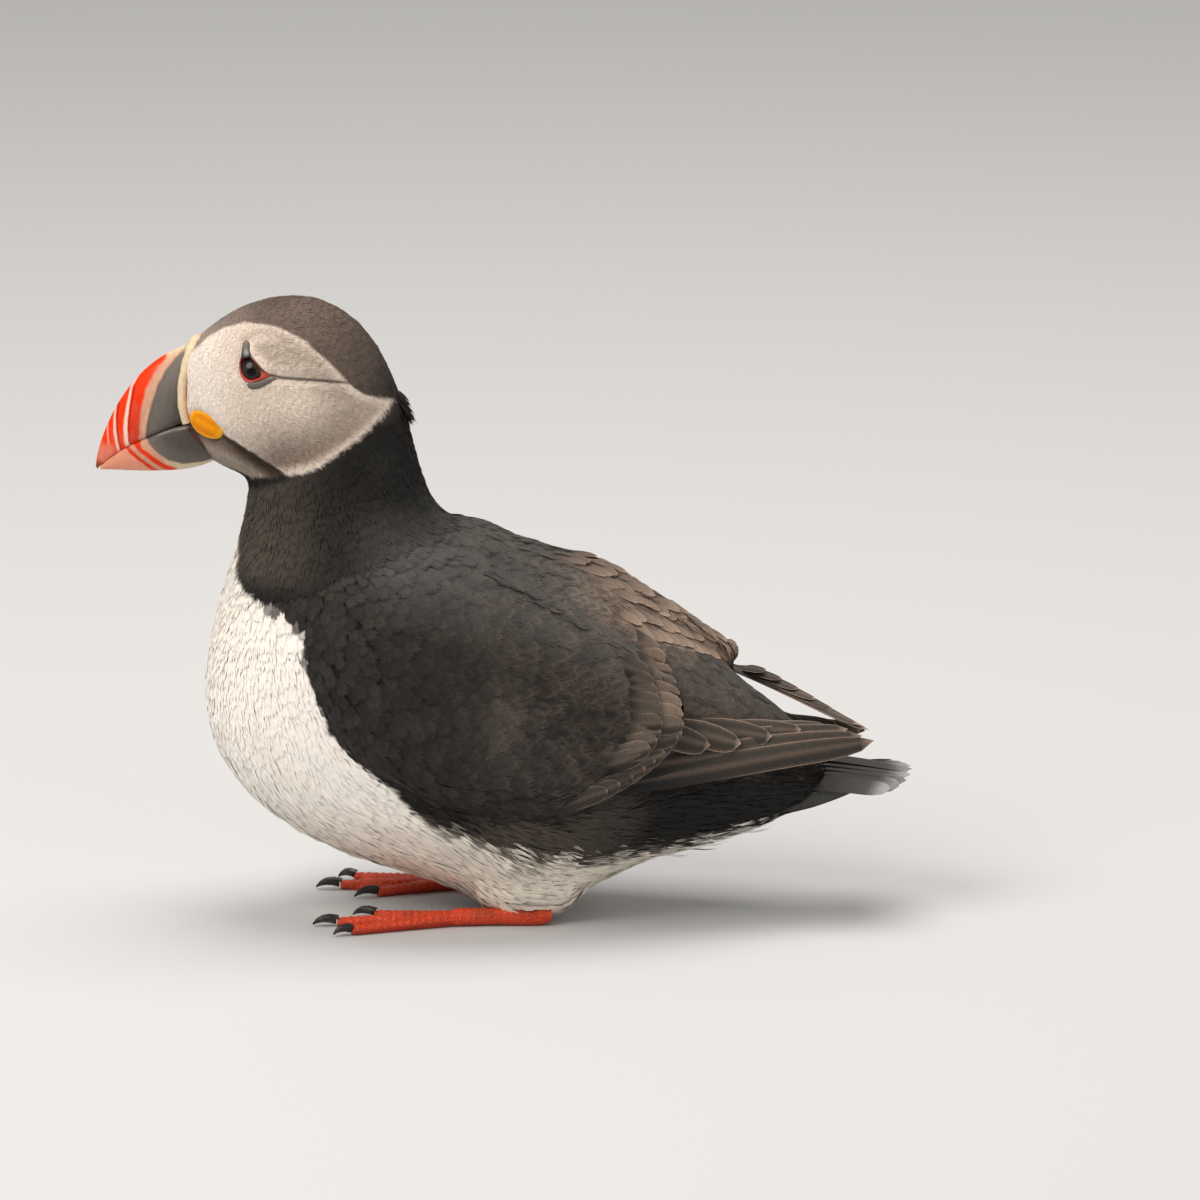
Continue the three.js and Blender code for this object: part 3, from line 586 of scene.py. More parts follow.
@functools.cache
def scaled_finish():
    """Foot skin: small raised scales about 0.9 mm across, with darker seams between them."""
    made, tree, shader = material("scaled_foot_skin", 0.42, ior=1.45, Coat_Weight=0.1, Coat_Roughness=0.3)
    place = node(tree, "ShaderNodeTexCoord").outputs["Object"]
    scales = node(
        tree, "ShaderNodeTexVoronoi", {"Vector": place, "Scale": 1 / (0.9 * MM)}, feature="DISTANCE_TO_EDGE"
    ).outputs["Distance"]
    seams = node(tree, "ShaderNodeMapRange", {"Value": scales, "From Min": 0.0, "From Max": 0.22})
    patterned(tree, shader, seams.outputs[0], 0.68, 1.05, 0.6, 0.25)
    return made


@functools.cache
def wet_finish():
    """The eye under its tear film: a hard clear gloss over a dark ground with flecks of 0.4 mm."""
    made, tree, shader = material("wet_eye", 0.06, ior=1.376, Specular_IOR_Level=0.35)
    place = node(tree, "ShaderNodeTexCoord").outputs["Object"]
    flecks = node(tree, "ShaderNodeTexNoise", {"Vector": place, "Scale": 1 / (0.4 * MM), "Detail": 2.0})
    patterned(tree, shader, flecks.outputs["Fac"], 0.8, 1.2)
    return made


# ---- pieces --------------------------------------------------------------------------------------
def place_piece(mesh, name, finish, replaces):
    """Puts a finished mesh in the scene on the bird's one body."""
    made = bpy.data.objects.new(name, mesh)
    bpy.context.scene.collection.objects.link(made)
    mesh.materials.append(finish)
    mesh.shade_smooth()
    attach(made, "root")
    if replaces:
        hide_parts(*replaces)


def coordinates(mesh):
    """The vertices of a mesh in mm."""
    flat = np.zeros(len(mesh.vertices) * 3)
    mesh.vertices.foreach_get("co", flat)
    return flat.reshape(-1, 3) / MM


def store(data, key, values, kind=np.float32):
    data.foreach_set(key, values.astype(kind).ravel())


def paint(mesh, colours):
    """Stores a colour for each vertex as the tint attribute."""
    held = mesh.attributes.new("tint", "FLOAT_COLOR", "POINT")
    store(held.data, "color", np.hstack([colours, np.ones((len(colours), 1))]))


def finish_piece(made, name, finish, tint, replaces=()):
    """Turns a bmesh in mm to a piece; tint gives the colours at points in mm."""
    bmesh.ops.scale(made, vec=(MM, MM, MM), verts=made.verts)
    mesh = bpy.data.meshes.new(name)
    made.to_mesh(mesh)
    made.free()
    paint(mesh, tint(coordinates(mesh)))
    place_piece(mesh, name, finish, replaces)


def spots_of(made):
    """The places of a bmesh's vertices."""
    return np.array([v.co for v in made.verts])


def move_to(made, spots):
    for vertex, spot in zip(made.verts, spots):
        vertex.co = spot


def rolled(rows, around, place):
    """A closed form: a grid rolled into a tube, whose points go to place(share along, turn)."""
    made = bmesh.new()
    bmesh.ops.create_grid(made, x_segments=around, y_segments=rows, size=0.5)
    flat = spots_of(made)[:, :2]
    flat = (flat - flat.min(0)) / (flat.max(0) - flat.min(0))
    turn = np.where(flat[:, 0] > 0.9999, 0, flat[:, 0]) * TURN
    move_to(made, place(flat[:, 1], turn))
    bmesh.ops.remove_doubles(made, verts=made.verts, dist=1e-4)
    bmesh.ops.recalc_face_normals(made, faces=made.faces)
    return made


def tube(path, radius, rows, around, facing, is_loop=False):
    """A rolled form along a path. radius(share) gives its half width and half height, and facing
    points roughly away from the body all along it."""
    def place(share, turn):
        t = share if is_loop else np.clip((share * rows - 1) / (rows - 2), 0, 1)
        here = along(path, t)
        step = 0.004
        back = along(path, (t - step) % 1 if is_loop else np.maximum(t - step, 0))
        ahead = unit(along(path, (t + step) % 1 if is_loop else np.minimum(t + step, 1)) - back)
        out = facing(here)
        out = unit(out - (out * ahead).sum(1, keepdims=True) * ahead)
        wide = np.cross(ahead, out)
        half, high = radius(t)
        if not is_loop:
            is_end = (share < 1e-6) | (share > 1 - 1e-6)
            half = np.where(is_end, 0, half)
            high = np.where(is_end, 0, high)
        return here + wide * (half * np.cos(turn))[:, None] + out * (high * np.sin(turn))[:, None]

    return rolled(rows, around, place)


def node_copy(name, grow=0.0):
    """A welded copy of a CAD node in mm, grown along its normals."""
    made = bmesh.new()
    made.from_mesh(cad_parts[name].data)
    bmesh.ops.scale(made, vec=(1 / MM,) * 3, verts=made.verts)
    bmesh.ops.remove_doubles(made, verts=made.verts, dist=1e-3)
    made.normal_update()
    for vertex, normal in [(v, v.normal.copy()) for v in made.verts]:
        vertex.co += normal * grow
    return made


def fused(forms, grain, smoothing):
    """Several closed forms as one even mesh with soft joins, still in mm."""
    mesh = bpy.data.meshes.new("forms")
    whole = bmesh.new()
    for form in forms:
        form.to_mesh(mesh)
        form.free()
        whole.from_mesh(mesh)
    whole.to_mesh(mesh)
    whole.free()
    holder = bpy.data.objects.new("forms", mesh)
    bpy.context.scene.collection.objects.link(holder)
    remesh = holder.modifiers.new("remesh", "REMESH")
    remesh.mode = "VOXEL"
    remesh.voxel_size = grain
    smooth = holder.modifiers.new("smooth", "SMOOTH")
    smooth.iterations = smoothing
    evaluated = holder.evaluated_get(bpy.context.evaluated_depsgraph_get())
    made = bmesh.new()
    made.from_mesh(evaluated.to_mesh())
    evaluated.to_mesh_clear()
    bpy.data.objects.remove(holder)
    bpy.data.meshes.remove(mesh)
    return made


# ---- the skin ------------------------------------------------------------------------------------
def shrunk_tail():
    """The fleshy root of the tail, under the feathers of the fan."""
    made = node_copy("tail")
    start, pulled, narrowed = 84, 0.72, 0.02
    for vertex in made.verts:
        beyond = max(vertex.co.y - start, 0)
        vertex.co.y -= beyond * pulled
        vertex.co.x *= 1 - narrowed * beyond
    return made


def forward_head():
    """The head, with the feathered base of the bill drawn forward under the rim."""
    made = node_copy("head", grow=0.5)
    places = spots_of(made)
    reach = 2.7 * ramp(-76, -87, places[:, 1]) * ramp(139, 147, places[:, 2]) * ramp(171, 161, places[:, 2])
    for vertex, move in zip(made.verts, reach):
        vertex.co.y -= move
    return made


def eye_flesh():
    """Flesh that fills the sockets, so that the skin runs on under the lids."""
    made = bmesh.new()
    radius = 14
    for side in SIDES.values():
        outward = unit(np.array([side, -0.35, 0.5]))
        middle = np.array([side * 15.9, *EYE_MIDDLE]) - outward * radius
        place = Matrix.Translation(middle.tolist())
        bmesh.ops.create_uvsphere(made, u_segments=48, v_segments=32, radius=radius, matrix=place)
    return made


def sculpt(points):
    """How far the skin moves out at each point for the folds of the face."""
    places = side_view(points)
    on_side = ramp(3, 7, np.abs(points[:, 0]))
    from_eye = np.linalg.norm(places - EYE_MIDDLE, axis=1)
    in_lids = inside(places - EYE_MIDDLE, EYE_OPENING)
    move = -1.4 * ramp(0.5, 1.6, in_lids) * ramp(4.4, 3.2, from_eye)
    crease, share = line_distance(places, CREASE)
    fade = ramp(1, 0.7, share)
    move -= 0.85 * fade * np.exp(-((crease / 0.8) ** 2))
    upper_bank, _ = line_distance(places, [(y, z + 2.2) for y, z in CREASE])
    move += 0.55 * fade * np.exp(-((upper_bank / 1.6) ** 2))
    lower_bank, _ = line_distance(places, [(y, z - 2) for y, z in CREASE])
    move += 0.3 * fade * np.exp(-((lower_bank / 1.6) ** 2))
    brow, _ = line_distance(places, BROW)
    move -= 0.25 * np.exp(-((brow / 1.3) ** 2))
    lid, _ = line_distance(places, LID)
    move += 0.9 * np.exp(-((lid / 1.0) ** 2))
    jowl, _ = line_distance(places, MALAR[2:])
    move -= 0.6 * np.exp(-((jowl / 1.5) ** 2))
    cheek = np.linalg.norm(places - (-56, 145), axis=1)
    move += 0.8 * np.exp(-((cheek / 9) ** 2))
    return move * on_side * ramp(-2, 2, above(places, HEAD_EDGE))


def back_drop(points, normals):
    """How far the feathered back lies below its form, behind the shoulders, in mm."""
    return 2.2 * ramp(-8, 4, points[:, 1]) * ramp(32, 12, points[:, 1]) * ramp(0.1, 0.6, normals[:, 2])


def build_skin():
    """One skin for head, neck, trunk, wings and the root of the tail."""
    forms = [node_copy(name, grow=0.5) for name in ("neck", "trunk", "wing_left", "wing_right")]
    made = fused([forward_head(), eye_flesh(), *forms, shrunk_tail()], sizes().skin_grain, 14)
    face_edges = [e for e in made.edges if all(v.co.y < -36 and v.co.z > 126 for v in e.verts)]
    bmesh.ops.subdivide_edges(made, edges=face_edges, cuts=1, use_grid_fill=True)
    bmesh.ops.triangulate(made, faces=[f for f in made.faces if len(f.verts) > 4])
    made.normal_update()
    points = spots_of(made)
    normals = np.array([v.normal for v in made.verts])
    move = sculpt(points) - coat_depth(points) - 0.3 - back_drop(points, normals)
    moved = points + normals * move[:, None]
    moved[:, 2] = np.maximum(moved[:, 2], 0.5)
    move_to(made, moved)
    for _ in range(2):
        bmesh.ops.smooth_vert(
            made, verts=made.verts, factor=0.4, use_axis_x=True, use_axis_y=True, use_axis_z=True
        )
    replaced = ("head", "neck", "trunk", "wing_left", "wing_right")
    finish_piece(made, "skin", skin_finish(), plumage, replaced)


@functools.cache
def guide():
    """The skin as the surface that feathers are laid on, in mm."""
    mesh = bpy.data.objects["skin"].data
    points = coordinates(mesh)
    faces = [tuple(p.vertices) for p in mesh.polygons]
    vertex_normals = np.zeros(len(points) * 3)
    mesh.vertex_normals.foreach_get("vector", vertex_normals)
    vertex_normals = vertex_normals.reshape(-1, 3)
    normals = unit(np.array([vertex_normals[list(f)].mean(0) for f in faces]))
    centres = np.array([points[list(f)].mean(0) for f in faces])
    areas = np.array([p.area for p in mesh.polygons]) / MM**2
    tree = BVHTree.FromPolygons(points.tolist(), faces)
    return SimpleNamespace(tree=tree, normals=normals, centres=centres, areas=areas)


# ---- feathers ------------------------------------------------------------------------------------
# Spots tried for each feather, and the square of the least gap between two, in spacings
SPOTS_TRIED = 14
LEAST_GAP = 0.72
TUFT_KINDS = 6
VANE_KINDS = 4
# How far out the rays start that look for the skin, in mm
CAST_FROM = 90
FACE_CAST_FROM = 60


def settle(points):
    """The nearest places on the skin, and the skin's normals there."""
    skin = guide()
    found = [skin.tree.find_nearest(p) for p in points.tolist()]
    return np.array([f[0] for f in found]), skin.normals[[f[2] for f in found]]


def scatter(where, spacing, seed):
    """Roots spread over the part of the skin where a test of its points holds, about spacing apart."""
    skin = guide()
    rng = np.random.default_rng(seed)
    chosen = np.flatnonzero(where(skin.centres))
    share = skin.areas[chosen] / skin.areas[chosen].sum()
    wanted = int(skin.areas[chosen].sum() / spacing**2 * SPOTS_TRIED)
    picks = rng.choice(chosen, wanted, p=share)
    spots = skin.centres[picks] + rng.uniform(-0.7, 0.7, (wanted, 3))
    taken = {}
    kept = []
    for i, (x, y, z) in enumerate((spots / spacing).tolist()):
        cell = (int(x // 1), int(y // 1), int(z // 1))
        near = (
            taken.get((cell[0] + a, cell[1] + b, cell[2] + c), ())
            for a in (-1, 0, 1) for b in (-1, 0, 1) for c in (-1, 0, 1)
        )
        others = (spot for group in near for spot in group)
        if all((x - a) ** 2 + (y - b) ** 2 + (z - c) ** 2 > LEAST_GAP for a, b, c in others):
            taken.setdefault(cell, []).append((x, y, z))
            kept.append(i)
    return spots[kept], rng


def lay(roots, lengths, swing, steps):
    """Paths over the skin that follow the lie of the coat from each root."""
    place, normal = settle(roots)
    way = lie(place, normal)
    way = way * np.cos(swing)[:, None] + np.cross(normal, way) * np.sin(swing)[:, None]
    places, normals = [place], [normal]
    stride = (lengths / steps)[:, None]
    for _ in range(steps):
        place, fresh = settle(place + way * stride)
        normal = unit(normal + fresh)
        turned = lie(place, normal)
        way = 0.75 * way + 0.25 * turned
        way = unit(way - (way * normal).sum(1, keepdims=True) * normal)
        places.append(place)
        normals.append(normal)
    return np.stack(places, 1), np.stack(normals, 1)


def blade(around, rings, outline):
    """A closed blade. Each point has its share along it, its place across it, from -1 to 1, and its
    rise. outline(share, side) is the half width."""
    made = bmesh.new()
    bmesh.ops.create_uvsphere(made, u_segments=around, v_segments=rings + 1, radius=1)
    points = spots_of(made)
    faces = [[v.index for v in f.verts] for f in made.faces]
    made.free()
    share = np.arccos(np.clip(points[:, 2], -1, 1)) / math.pi
    reach = np.maximum(np.hypot(points[:, 0], points[:, 1]), 1e-9)
    is_pole = reach < 1e-6
    cos = np.where(is_pole, 0, points[:, 0] / reach)
    sin = np.where(is_pole, 0, points[:, 1] / reach)
    return SimpleNamespace(
        across=cos * outline(share, np.sign(cos)), along=share, rise=sin * (~is_pole),
        face=np.ones(len(share)), edge=np.where(is_pole, 1, np.abs(cos)), faces=faces,
    )


def bundle(parts):
    """Several blades as one tuft."""
    faces, count = [], 0
    for part in parts:
        faces += [[i + count for i in f] for f in part.faces]
        count += len(part.across)
    kinds = ("across", "along", "rise", "face", "edge")
    joined = {kind: np.concatenate([getattr(part, kind) for part in parts]) for kind in kinds}
    return SimpleNamespace(faces=faces, **joined)


def tuft_shapes(blades, rings, seed, spread=1.0, slim=0.3, frayed=0.3):
    """A few different tufts. Each has narrow blades that start side by side and part a little."""
    rng = np.random.default_rng(seed)
    base = blade(3, rings, lambda t, _: np.sin(np.pi * np.clip(t, 0, 1)) ** 0.7)
    result = []
    for _ in range(TUFT_KINDS):
        parts = []
        for i in range(blades):
            start = (i + 0.5) / blades * 2 - 1 + rng.uniform(-0.3, 0.3)
            end = start * spread + rng.uniform(-frayed, frayed)
            begin = rng.uniform(0, 0.4)
            reach = rng.uniform(0.62, 1.0)
            parts.append(SimpleNamespace(
                across=start + (end - start) * base.along + base.across * slim * rng.uniform(0.7, 1.3),
                along=begin + (reach - begin) * base.along, rise=base.rise + rng.uniform(-1.2, 1.2),
                face=base.face, edge=base.edge, faces=base.faces,
            ))
        result.append(bundle(parts))
    return result


def vane_shapes(around, rings, seed, barbs, cup, tip):
    """A few contour feathers: a cupped vane with a rounded end, and loose barbs round its edge."""
    rng = np.random.default_rng(seed)

    def outline(t, _):
        root = np.clip(t / 0.22, 0, 1) ** 0.6
        end = np.sqrt(np.clip(1 - (np.clip(t - tip, 0, 1) / (1 - tip)) ** 2, 0, 1))
        return root * end

    body = blade(around, rings, outline)
    body.face = np.where(body.rise < -0.3, -1.0, 1.0)
    body.rise = body.rise * 0.5 + 0.8 * (1 - np.abs(body.across)) - cup * body.across**2
    hair = blade(3, 1, lambda t, _: np.sin(np.pi * t))
    result = []
    for _ in range(VANE_KINDS):
        parts = [SimpleNamespace(**vars(body))]
        parts[0].along = body.along * 0.93
        for i in range(barbs):
            angle = (i + rng.uniform(0.1, 0.9)) / barbs * math.pi
            where = math.cos(angle)
            begin = 0.5 + 0.28 * math.sin(angle)
            end = 0.78 + 0.24 * math.sin(angle) + rng.uniform(-0.03, 0.05)
            parts.append(SimpleNamespace(
                across=where * (0.82 + 0.2 * hair.along) + hair.across * 0.13,
                along=begin + (end - begin) * hair.along,
                rise=hair.rise * 0.4 - cup * where**2, face=hair.face, edge=hair.edge, faces=hair.faces,
            ))
        result.append(bundle(parts))
    return result


def unwrap(points):
    """Each point's place on the skin unrolled round a line from the tail to the bill."""
    places = points[:, 1:]
    _, share = line_distance(places, SPINE)
    spot = along(SPINE, share)
    ahead = unit(along(SPINE, share + 0.01) - along(SPINE, share - 0.01))
    up = ((places - spot) * np.stack([ahead[:, 1], -ahead[:, 0]], 1)).sum(1)
    angle = np.arctan2(points[:, 0], up) / TURN + 0.5
    return np.stack([0.02 + 0.95 * share, 0.02 + 0.95 * angle], axis=1)


def grow(shapes, path, normals, widths, lifts, thickness, tint, rng):
    """One batch of feathers: each path takes one of the shapes. Widths, thickness and lifts, at the
    root and at the tip, are in mm, one for all or one for each. tint(points, paths, shape, seeds)
    gives the colours of their points, and seeds holds a number from 0 to 1 for each feather."""
    steps = path.shape[1] - 1
    kinds = rng.integers(0, len(shapes), len(path))
    seeds = rng.uniform(0, 1, len(path))
    measures = [np.broadcast_to(measure, len(path)) for measure in (widths, thickness, *lifts)]
    map_roots = unwrap(path[:, 0])
    batches = []
    for kind, shape in enumerate(shapes):
        own = np.flatnonzero(kinds == kind)
        if not len(own):
            continue
        t = np.clip(shape.along, 0, 1) * steps
        i = np.minimum(t.astype(int), steps - 1)
        f = (t - i)[None, :, None]
        line, out = path[own], normals[own]
        spot = line[:, i] * (1 - f) + line[:, i + 1] * f
        beyond = np.maximum(shape.along - 1, 0)[None, :, None]
        ahead = unit(line[:, i + 1] - line[:, i])
        up = unit(out[:, i] * (1 - f) + out[:, i + 1] * f)
        across = np.cross(ahead, up)
        share = shape.along[None, :]
        width, thick, low, high = (measure[own, None] for measure in measures)
        height = low + (high - low) * (1 - (1 - np.clip(share, 0, 1)) ** 1.8)
        height = height + shape.rise[None] * thick
        wide = shape.across[None] * width
        span = np.linalg.norm(line[:, -1] - line[:, 0], axis=1)[:, None]
        verts = spot + ahead * beyond * span[..., None] + across * wide[..., None] + up * height[..., None]
        verts[..., 2] = np.maximum(verts[..., 2], 0.1)
        colours = tint(verts, line, shape, seeds[own])
        bend = 0.3 * np.clip(shape.across, -1, 1)[None, :, None]
        tipped = ahead * (0.25 * share - 0.1)[..., None]
        facing = unit(up * shape.face[None, :, None] + across * bend + tipped)
        barb = np.stack([wide, share * span, np.broadcast_to(seeds[own, None], wide.shape)], axis=2)
        patch = np.stack([np.clip(shape.across, -1, 1) / 2, shape.along], 1) * BAKE_PATCH
        maps = map_roots[own][:, None] + patch[None]
        batches.append(SimpleNamespace(
            verts=verts, facing=facing, tint=colours, barb=barb, maps=maps, faces=shape.faces
        ))
    return batches


def coat_piece(name, batches, finish, replaces=()):
    """Joins batches of feathers to one mesh. Feathers are shaded as the even surface that they make."""
    def joined(kind):
        parts = [getattr(b, kind) for b in batches]
        return np.concatenate([part.reshape(-1, part.shape[-1]) for part in parts])

    corners, lengths, first = [], [], 0
    for b in batches:
        count, each = b.verts.shape[:2]
        loop = np.array([i for face in b.faces for i in face])
        corners.append((first + np.arange(count)[:, None] * each + loop[None]).ravel())
        lengths.append(np.tile([len(face) for face in b.faces], count))
        first += count * each
    corners, lengths = np.concatenate(corners), np.concatenate(lengths)
    mesh = bpy.data.meshes.new(name)
    mesh.vertices.add(first)
    store(mesh.vertices, "co", joined("verts") * MM)
    mesh.loops.add(len(corners))
    store(mesh.loops, "vertex_index", corners, np.int32)
    mesh.polygons.add(len(lengths))
    store(mesh.polygons, "loop_start", np.cumsum(lengths) - lengths, np.int32)
    mesh.update(calc_edges=True)
    paint(mesh, np.clip(joined("tint"), 0, 1))
    store(mesh.attributes.new("barb", "FLOAT_VECTOR", "POINT").data, "vector", joined("barb"))
    store(mesh.uv_layers.new(name=BAKE_MAP).uv, "vector", joined("maps")[corners])
    place_piece(mesh, name, finish, replaces)
    mesh.normals_split_custom_set_from_vertices(joined("facing"))


def soft_tint(value=0.1, root=0.8, crisp=False):
    """Tufts take the colour of the coat near their tips, each a little lighter or darker. Where the
    edges of the markings are crisp, each point of a tuft takes the colour of its own place."""
    def tint(verts, line, shape, seeds):
        if crisp:
            base = plumage(verts.reshape(-1, 3)).reshape(verts.shape)
        else:
            base = plumage(line[:, -1] * 0.7 + line[:, 0] * 0.3)[:, None]
        lengthwise = root + (1.04 - root) * np.clip(shape.along, 0, 1)
        level = (1 + value * (seeds * 2 - 1))[:, None] * lengthwise[None]
        return base * level[..., None]

    return tint


def vane_tint(edge_strength):
    """Contour feathers: dark at the root and worn paler at the edge."""
    def tint(verts, line, shape, seeds):
        hue = palette()
        base = plumage(line[:, -1] * 0.75 + line[:, 0] * 0.25)
        base = mixed(base, hue.faded, 0.1 * ramp(0.5, 1, seeds))
        level = (1 + 0.08 * (seeds * 2 - 1))[:, None] * (0.8 + 0.24 * np.clip(shape.along, 0, 1))[None]
        colours = base[:, None] * level[..., None]
        rim = ramp(0.4, 1, shape.edge) * ramp(0.4, 0.75, shape.along)
        strength = (edge_strength(line[:, -1]) * (0.5 + seeds))[:, None] * rim[None]
        return mixed(colours, hue.fringe, strength)

    return tint


def soft_coat(
    name, where, spacing, shapes, seed, *, width, lift, messy, thickness, tint, stretch=1.0
):
    """Soft tufts over part of the skin. Width and lift are shares of the feathers' length and of the
    coat's depth, messy is how far they swing aside in radians, and thickness is in mm."""
    roots, rng = scatter(where, spacing, seed)
    count = len(roots)
    lengths = coat_length(roots) * stretch * rng.uniform(0.8, 1.2, count)
    swing = rng.normal(0, messy, count)
    path, normals = lay(roots, lengths, swing, 3)
    depth = coat_depth(roots)
    lifts = (-0.25, depth * lift * rng.uniform(0.75, 1.2, count))
    widths = lengths * width * rng.uniform(0.85, 1.15, count)
    batches = grow(shapes, path, normals, widths, lifts, thickness, tint, rng)
    coat_piece(name, batches, down_finish())


# ---- the coat of the head, neck and body ---------------------------------------------------------
def bare(places):
    """Where no feather grows: in the eye and on the horn plates."""
    in_eye = [inside(places - EYE_MIDDLE + (back, 0), EYE_OPENING) for back in (0, 0.5, 1.0)]
    near = [line_distance(places, [(y, z) for y, z, _ in PLATES[part]])[0] for part in PLATES]
    return (np.max(in_eye, axis=0) > -0.15) | (near[0] < 0.9) | (near[1] < 0.6)


def zone_of(points):
    """The name of the part of the coat that each point belongs to."""
    _, y, z = points.T
    places = side_view(points)
    is_head = above(places, HEAD_EDGE) > 0
    is_neck = above(places, NECK_EDGE) > 0
    is_dark = inside(places, DARK) > 0
    under = above(places, WING_EDGE) < -1.5
    zones = np.full(len(points), "belly", dtype="U6")
    zones[y < -44] = "breast"
    zones[is_dark & ~under] = "back"
    zones[is_dark & under & (y > -50)] = "flank"
    zones[is_neck & is_dark] = "neck"
    zones[is_head] = "cap"
    zones[is_head & (inside(places, FACE) > -0.3)] = "face"
    zones[bare(places) & is_head] = "bare"
    zones[(y < -92.5) & (z > 126)] = "bare"
    zones[z < 0.9] = "under"
    return zones


def in_zone(name, side=0):
    """A test for a part of the coat, on one side of the bird or on both."""
    def test(points):
        chosen = zone_of(points) == name
        return chosen & (points[:, 0] * side > 0) if side else chosen

    return test


def build_head_coat():
    spacing = sizes().down_spacing
    fine = tuft_shapes(6, 1, seed=11, slim=0.26, frayed=0.2)
    for name, side in SIDES.items():
        soft_coat(
            f"coat_face_{name}", in_zone("face", side), spacing, fine, 21, width=0.3,
            lift=0.8, messy=0.07, thickness=0.03, tint=soft_tint(0.02, 0.97, crisp=True),
        )
    soft_coat(
        "coat_cap", in_zone("cap"), spacing, fine, 22, width=0.3, lift=0.8,
        messy=0.08, thickness=0.03, tint=soft_tint(0.06, 0.9, crisp=True),
    )


def build_neck_coat():
    soft_coat(
        "coat_neck", in_zone("neck"), sizes().neck_spacing,
        tuft_shapes(5, 2, seed=12, slim=0.3), 23, width=0.28, lift=0.85, messy=0.1, thickness=0.06,
        tint=soft_tint(0.08, 0.85, crisp=True),
    )


def build_body_coat():
    """Smooth white tufts on breast and belly, and ragged ones on the flanks."""
    spacing = sizes().breast_spacing
    shapes = tuft_shapes(7, 2, seed=13, slim=0.24, frayed=0.25)
    white = soft_tint(0.01, 0.97, crisp=True)
    soft_coat(
        "coat_breast", in_zone("breast"), spacing, shapes, 24, width=0.32, lift=0.6,
        messy=0.06, thickness=0.04, tint=white,
    )
    soft_coat(
        "coat_belly", in_zone("belly"), spacing * 1.15, shapes, 25, width=0.3, lift=0.8,
        messy=0.1, thickness=0.08, tint=white,
    )
    soft_coat(
        "coat_flanks", in_zone("flank"), spacing * 1.1,
        tuft_shapes(7, 2, seed=14, spread=0.7, slim=0.16, frayed=0.35), 26, width=0.24, lift=1.1,
        messy=0.2, thickness=0.12, tint=soft_tint(), stretch=1.25,
    )


def build_loose_feathers():
    """A tuft that stands out from the nape, and thin white plumes behind the legs."""
    def on_nape(points):
        x, y, z = points.T
        is_high = (z > 145.5) & (z < 151)
        return is_high & (np.abs(x) < 4.5) & (y > -40)

    def on_vent(points):
        x, y, z = points.T
        is_near = (y > 40) & (y < 66) & (z < 27)
        return is_near & (np.abs(x) > 3) & (np.abs(x) < 17)

    def white(verts, line, shape, seeds):
        return np.broadcast_to(palette().breast, verts.shape) * 0.92

    shapes = tuft_shapes(5, 3, seed=17, slim=0.2, frayed=0.5)
    for name, where, spacing, reach, lift, tint in (
        ("nape_tuft", on_nape, 1.0, 6.0, 2.6, soft_tint()),
        ("vent_plumes", on_vent, 5.0, 13.0, 3.5, white),
    ):
        roots, rng = scatter(where, spacing, 61)
        count = len(roots)
        path, normals = lay(roots, reach * rng.uniform(0.7, 1.2, count), rng.normal(0, 0.25, count), 4)
        lifts = (-0.2, lift * rng.uniform(0.3, 1.2, count))
        widths = rng.uniform(0.8, 1.3, count)
        batch = grow(shapes, path, normals, widths, lifts, 0.08, tint, rng)
        coat_piece(name, batch, down_finish())


def build_back_coat():
    """Broad overlapping vanes on the back and the wings, worn brown over the rump."""
    shapes = vane_shapes(6, 4, seed=15, barbs=11, cup=0.5, tip=0.42)

    def worn_edge(tips):
        over_rump = ramp(-2, 6, above(side_view(tips), RUMP_EDGE))
        brown = ramp(16, 42, tips[:, 1]) * over_rump * ramp(28, 12, tips[:, 0])
        return 0.03 + 0.5 * brown + 0.07 * ramp(-16, 28, tips[:, 1])

    for name, side in SIDES.items():
        roots, rng = scatter(in_zone("back", side), sizes().vane_spacing, 31 + side)
        count = len(roots)
        lengths = coat_length(roots) * rng.uniform(0.8, 1.15, count)
        path, normals = lay(roots, lengths, rng.normal(0, 0.12, count), 5)
        lifts = (-0.3, coat_depth(roots) * rng.uniform(0.45, 0.75, count))
        widths = lengths * 0.28 * rng.uniform(0.85, 1.1, count)
        batch = grow(shapes, path, normals, widths, lifts, 0.09, vane_tint(worn_edge), rng)
        coat_piece(f"coat_back_{name}", batch, vane_finish())


# ---- flight feathers -----------------------------------------------------------------------------
def quill_shape(upper_tip, lower_tip):
    """A long stiff feather with a raised shaft. Each web rounds off from its tip share onward."""
    def outline(t, side):
        tip = np.where(side < 0, upper_tip, lower_tip)
        root = np.clip(t / 0.12, 0, 1) ** 0.5
        end = np.sqrt(np.clip(1 - (np.clip(t - tip, 0, 1) / (1 - tip)) ** 2, 0, 1))
        return root * end

    body = blade(16, 24, outline)
    body.face = np.where(body.rise < -0.3, -1.0, 1.0)
    body.rise = body.rise * 0.5 + 0.7 * np.exp(-((body.across / 0.15) ** 2))
    return body


@functools.cache
def node_tree_of(*names):
    """CAD nodes in mm, with the back as low as the skin's, as one surface to lay feathers on."""
    corners, faces = [], []
    for name in names:
        made = node_copy(name)
        made.normal_update()
        first = len(corners)
        places = spots_of(made)
        normals = np.array([v.normal for v in made.verts])
        corners += (places - normals * back_drop(places, normals)[:, None]).tolist()
        faces += [[v.index + first for v in f.verts] for f in made.faces]
        made.free()
    return BVHTree.FromPolygons(corners, faces)


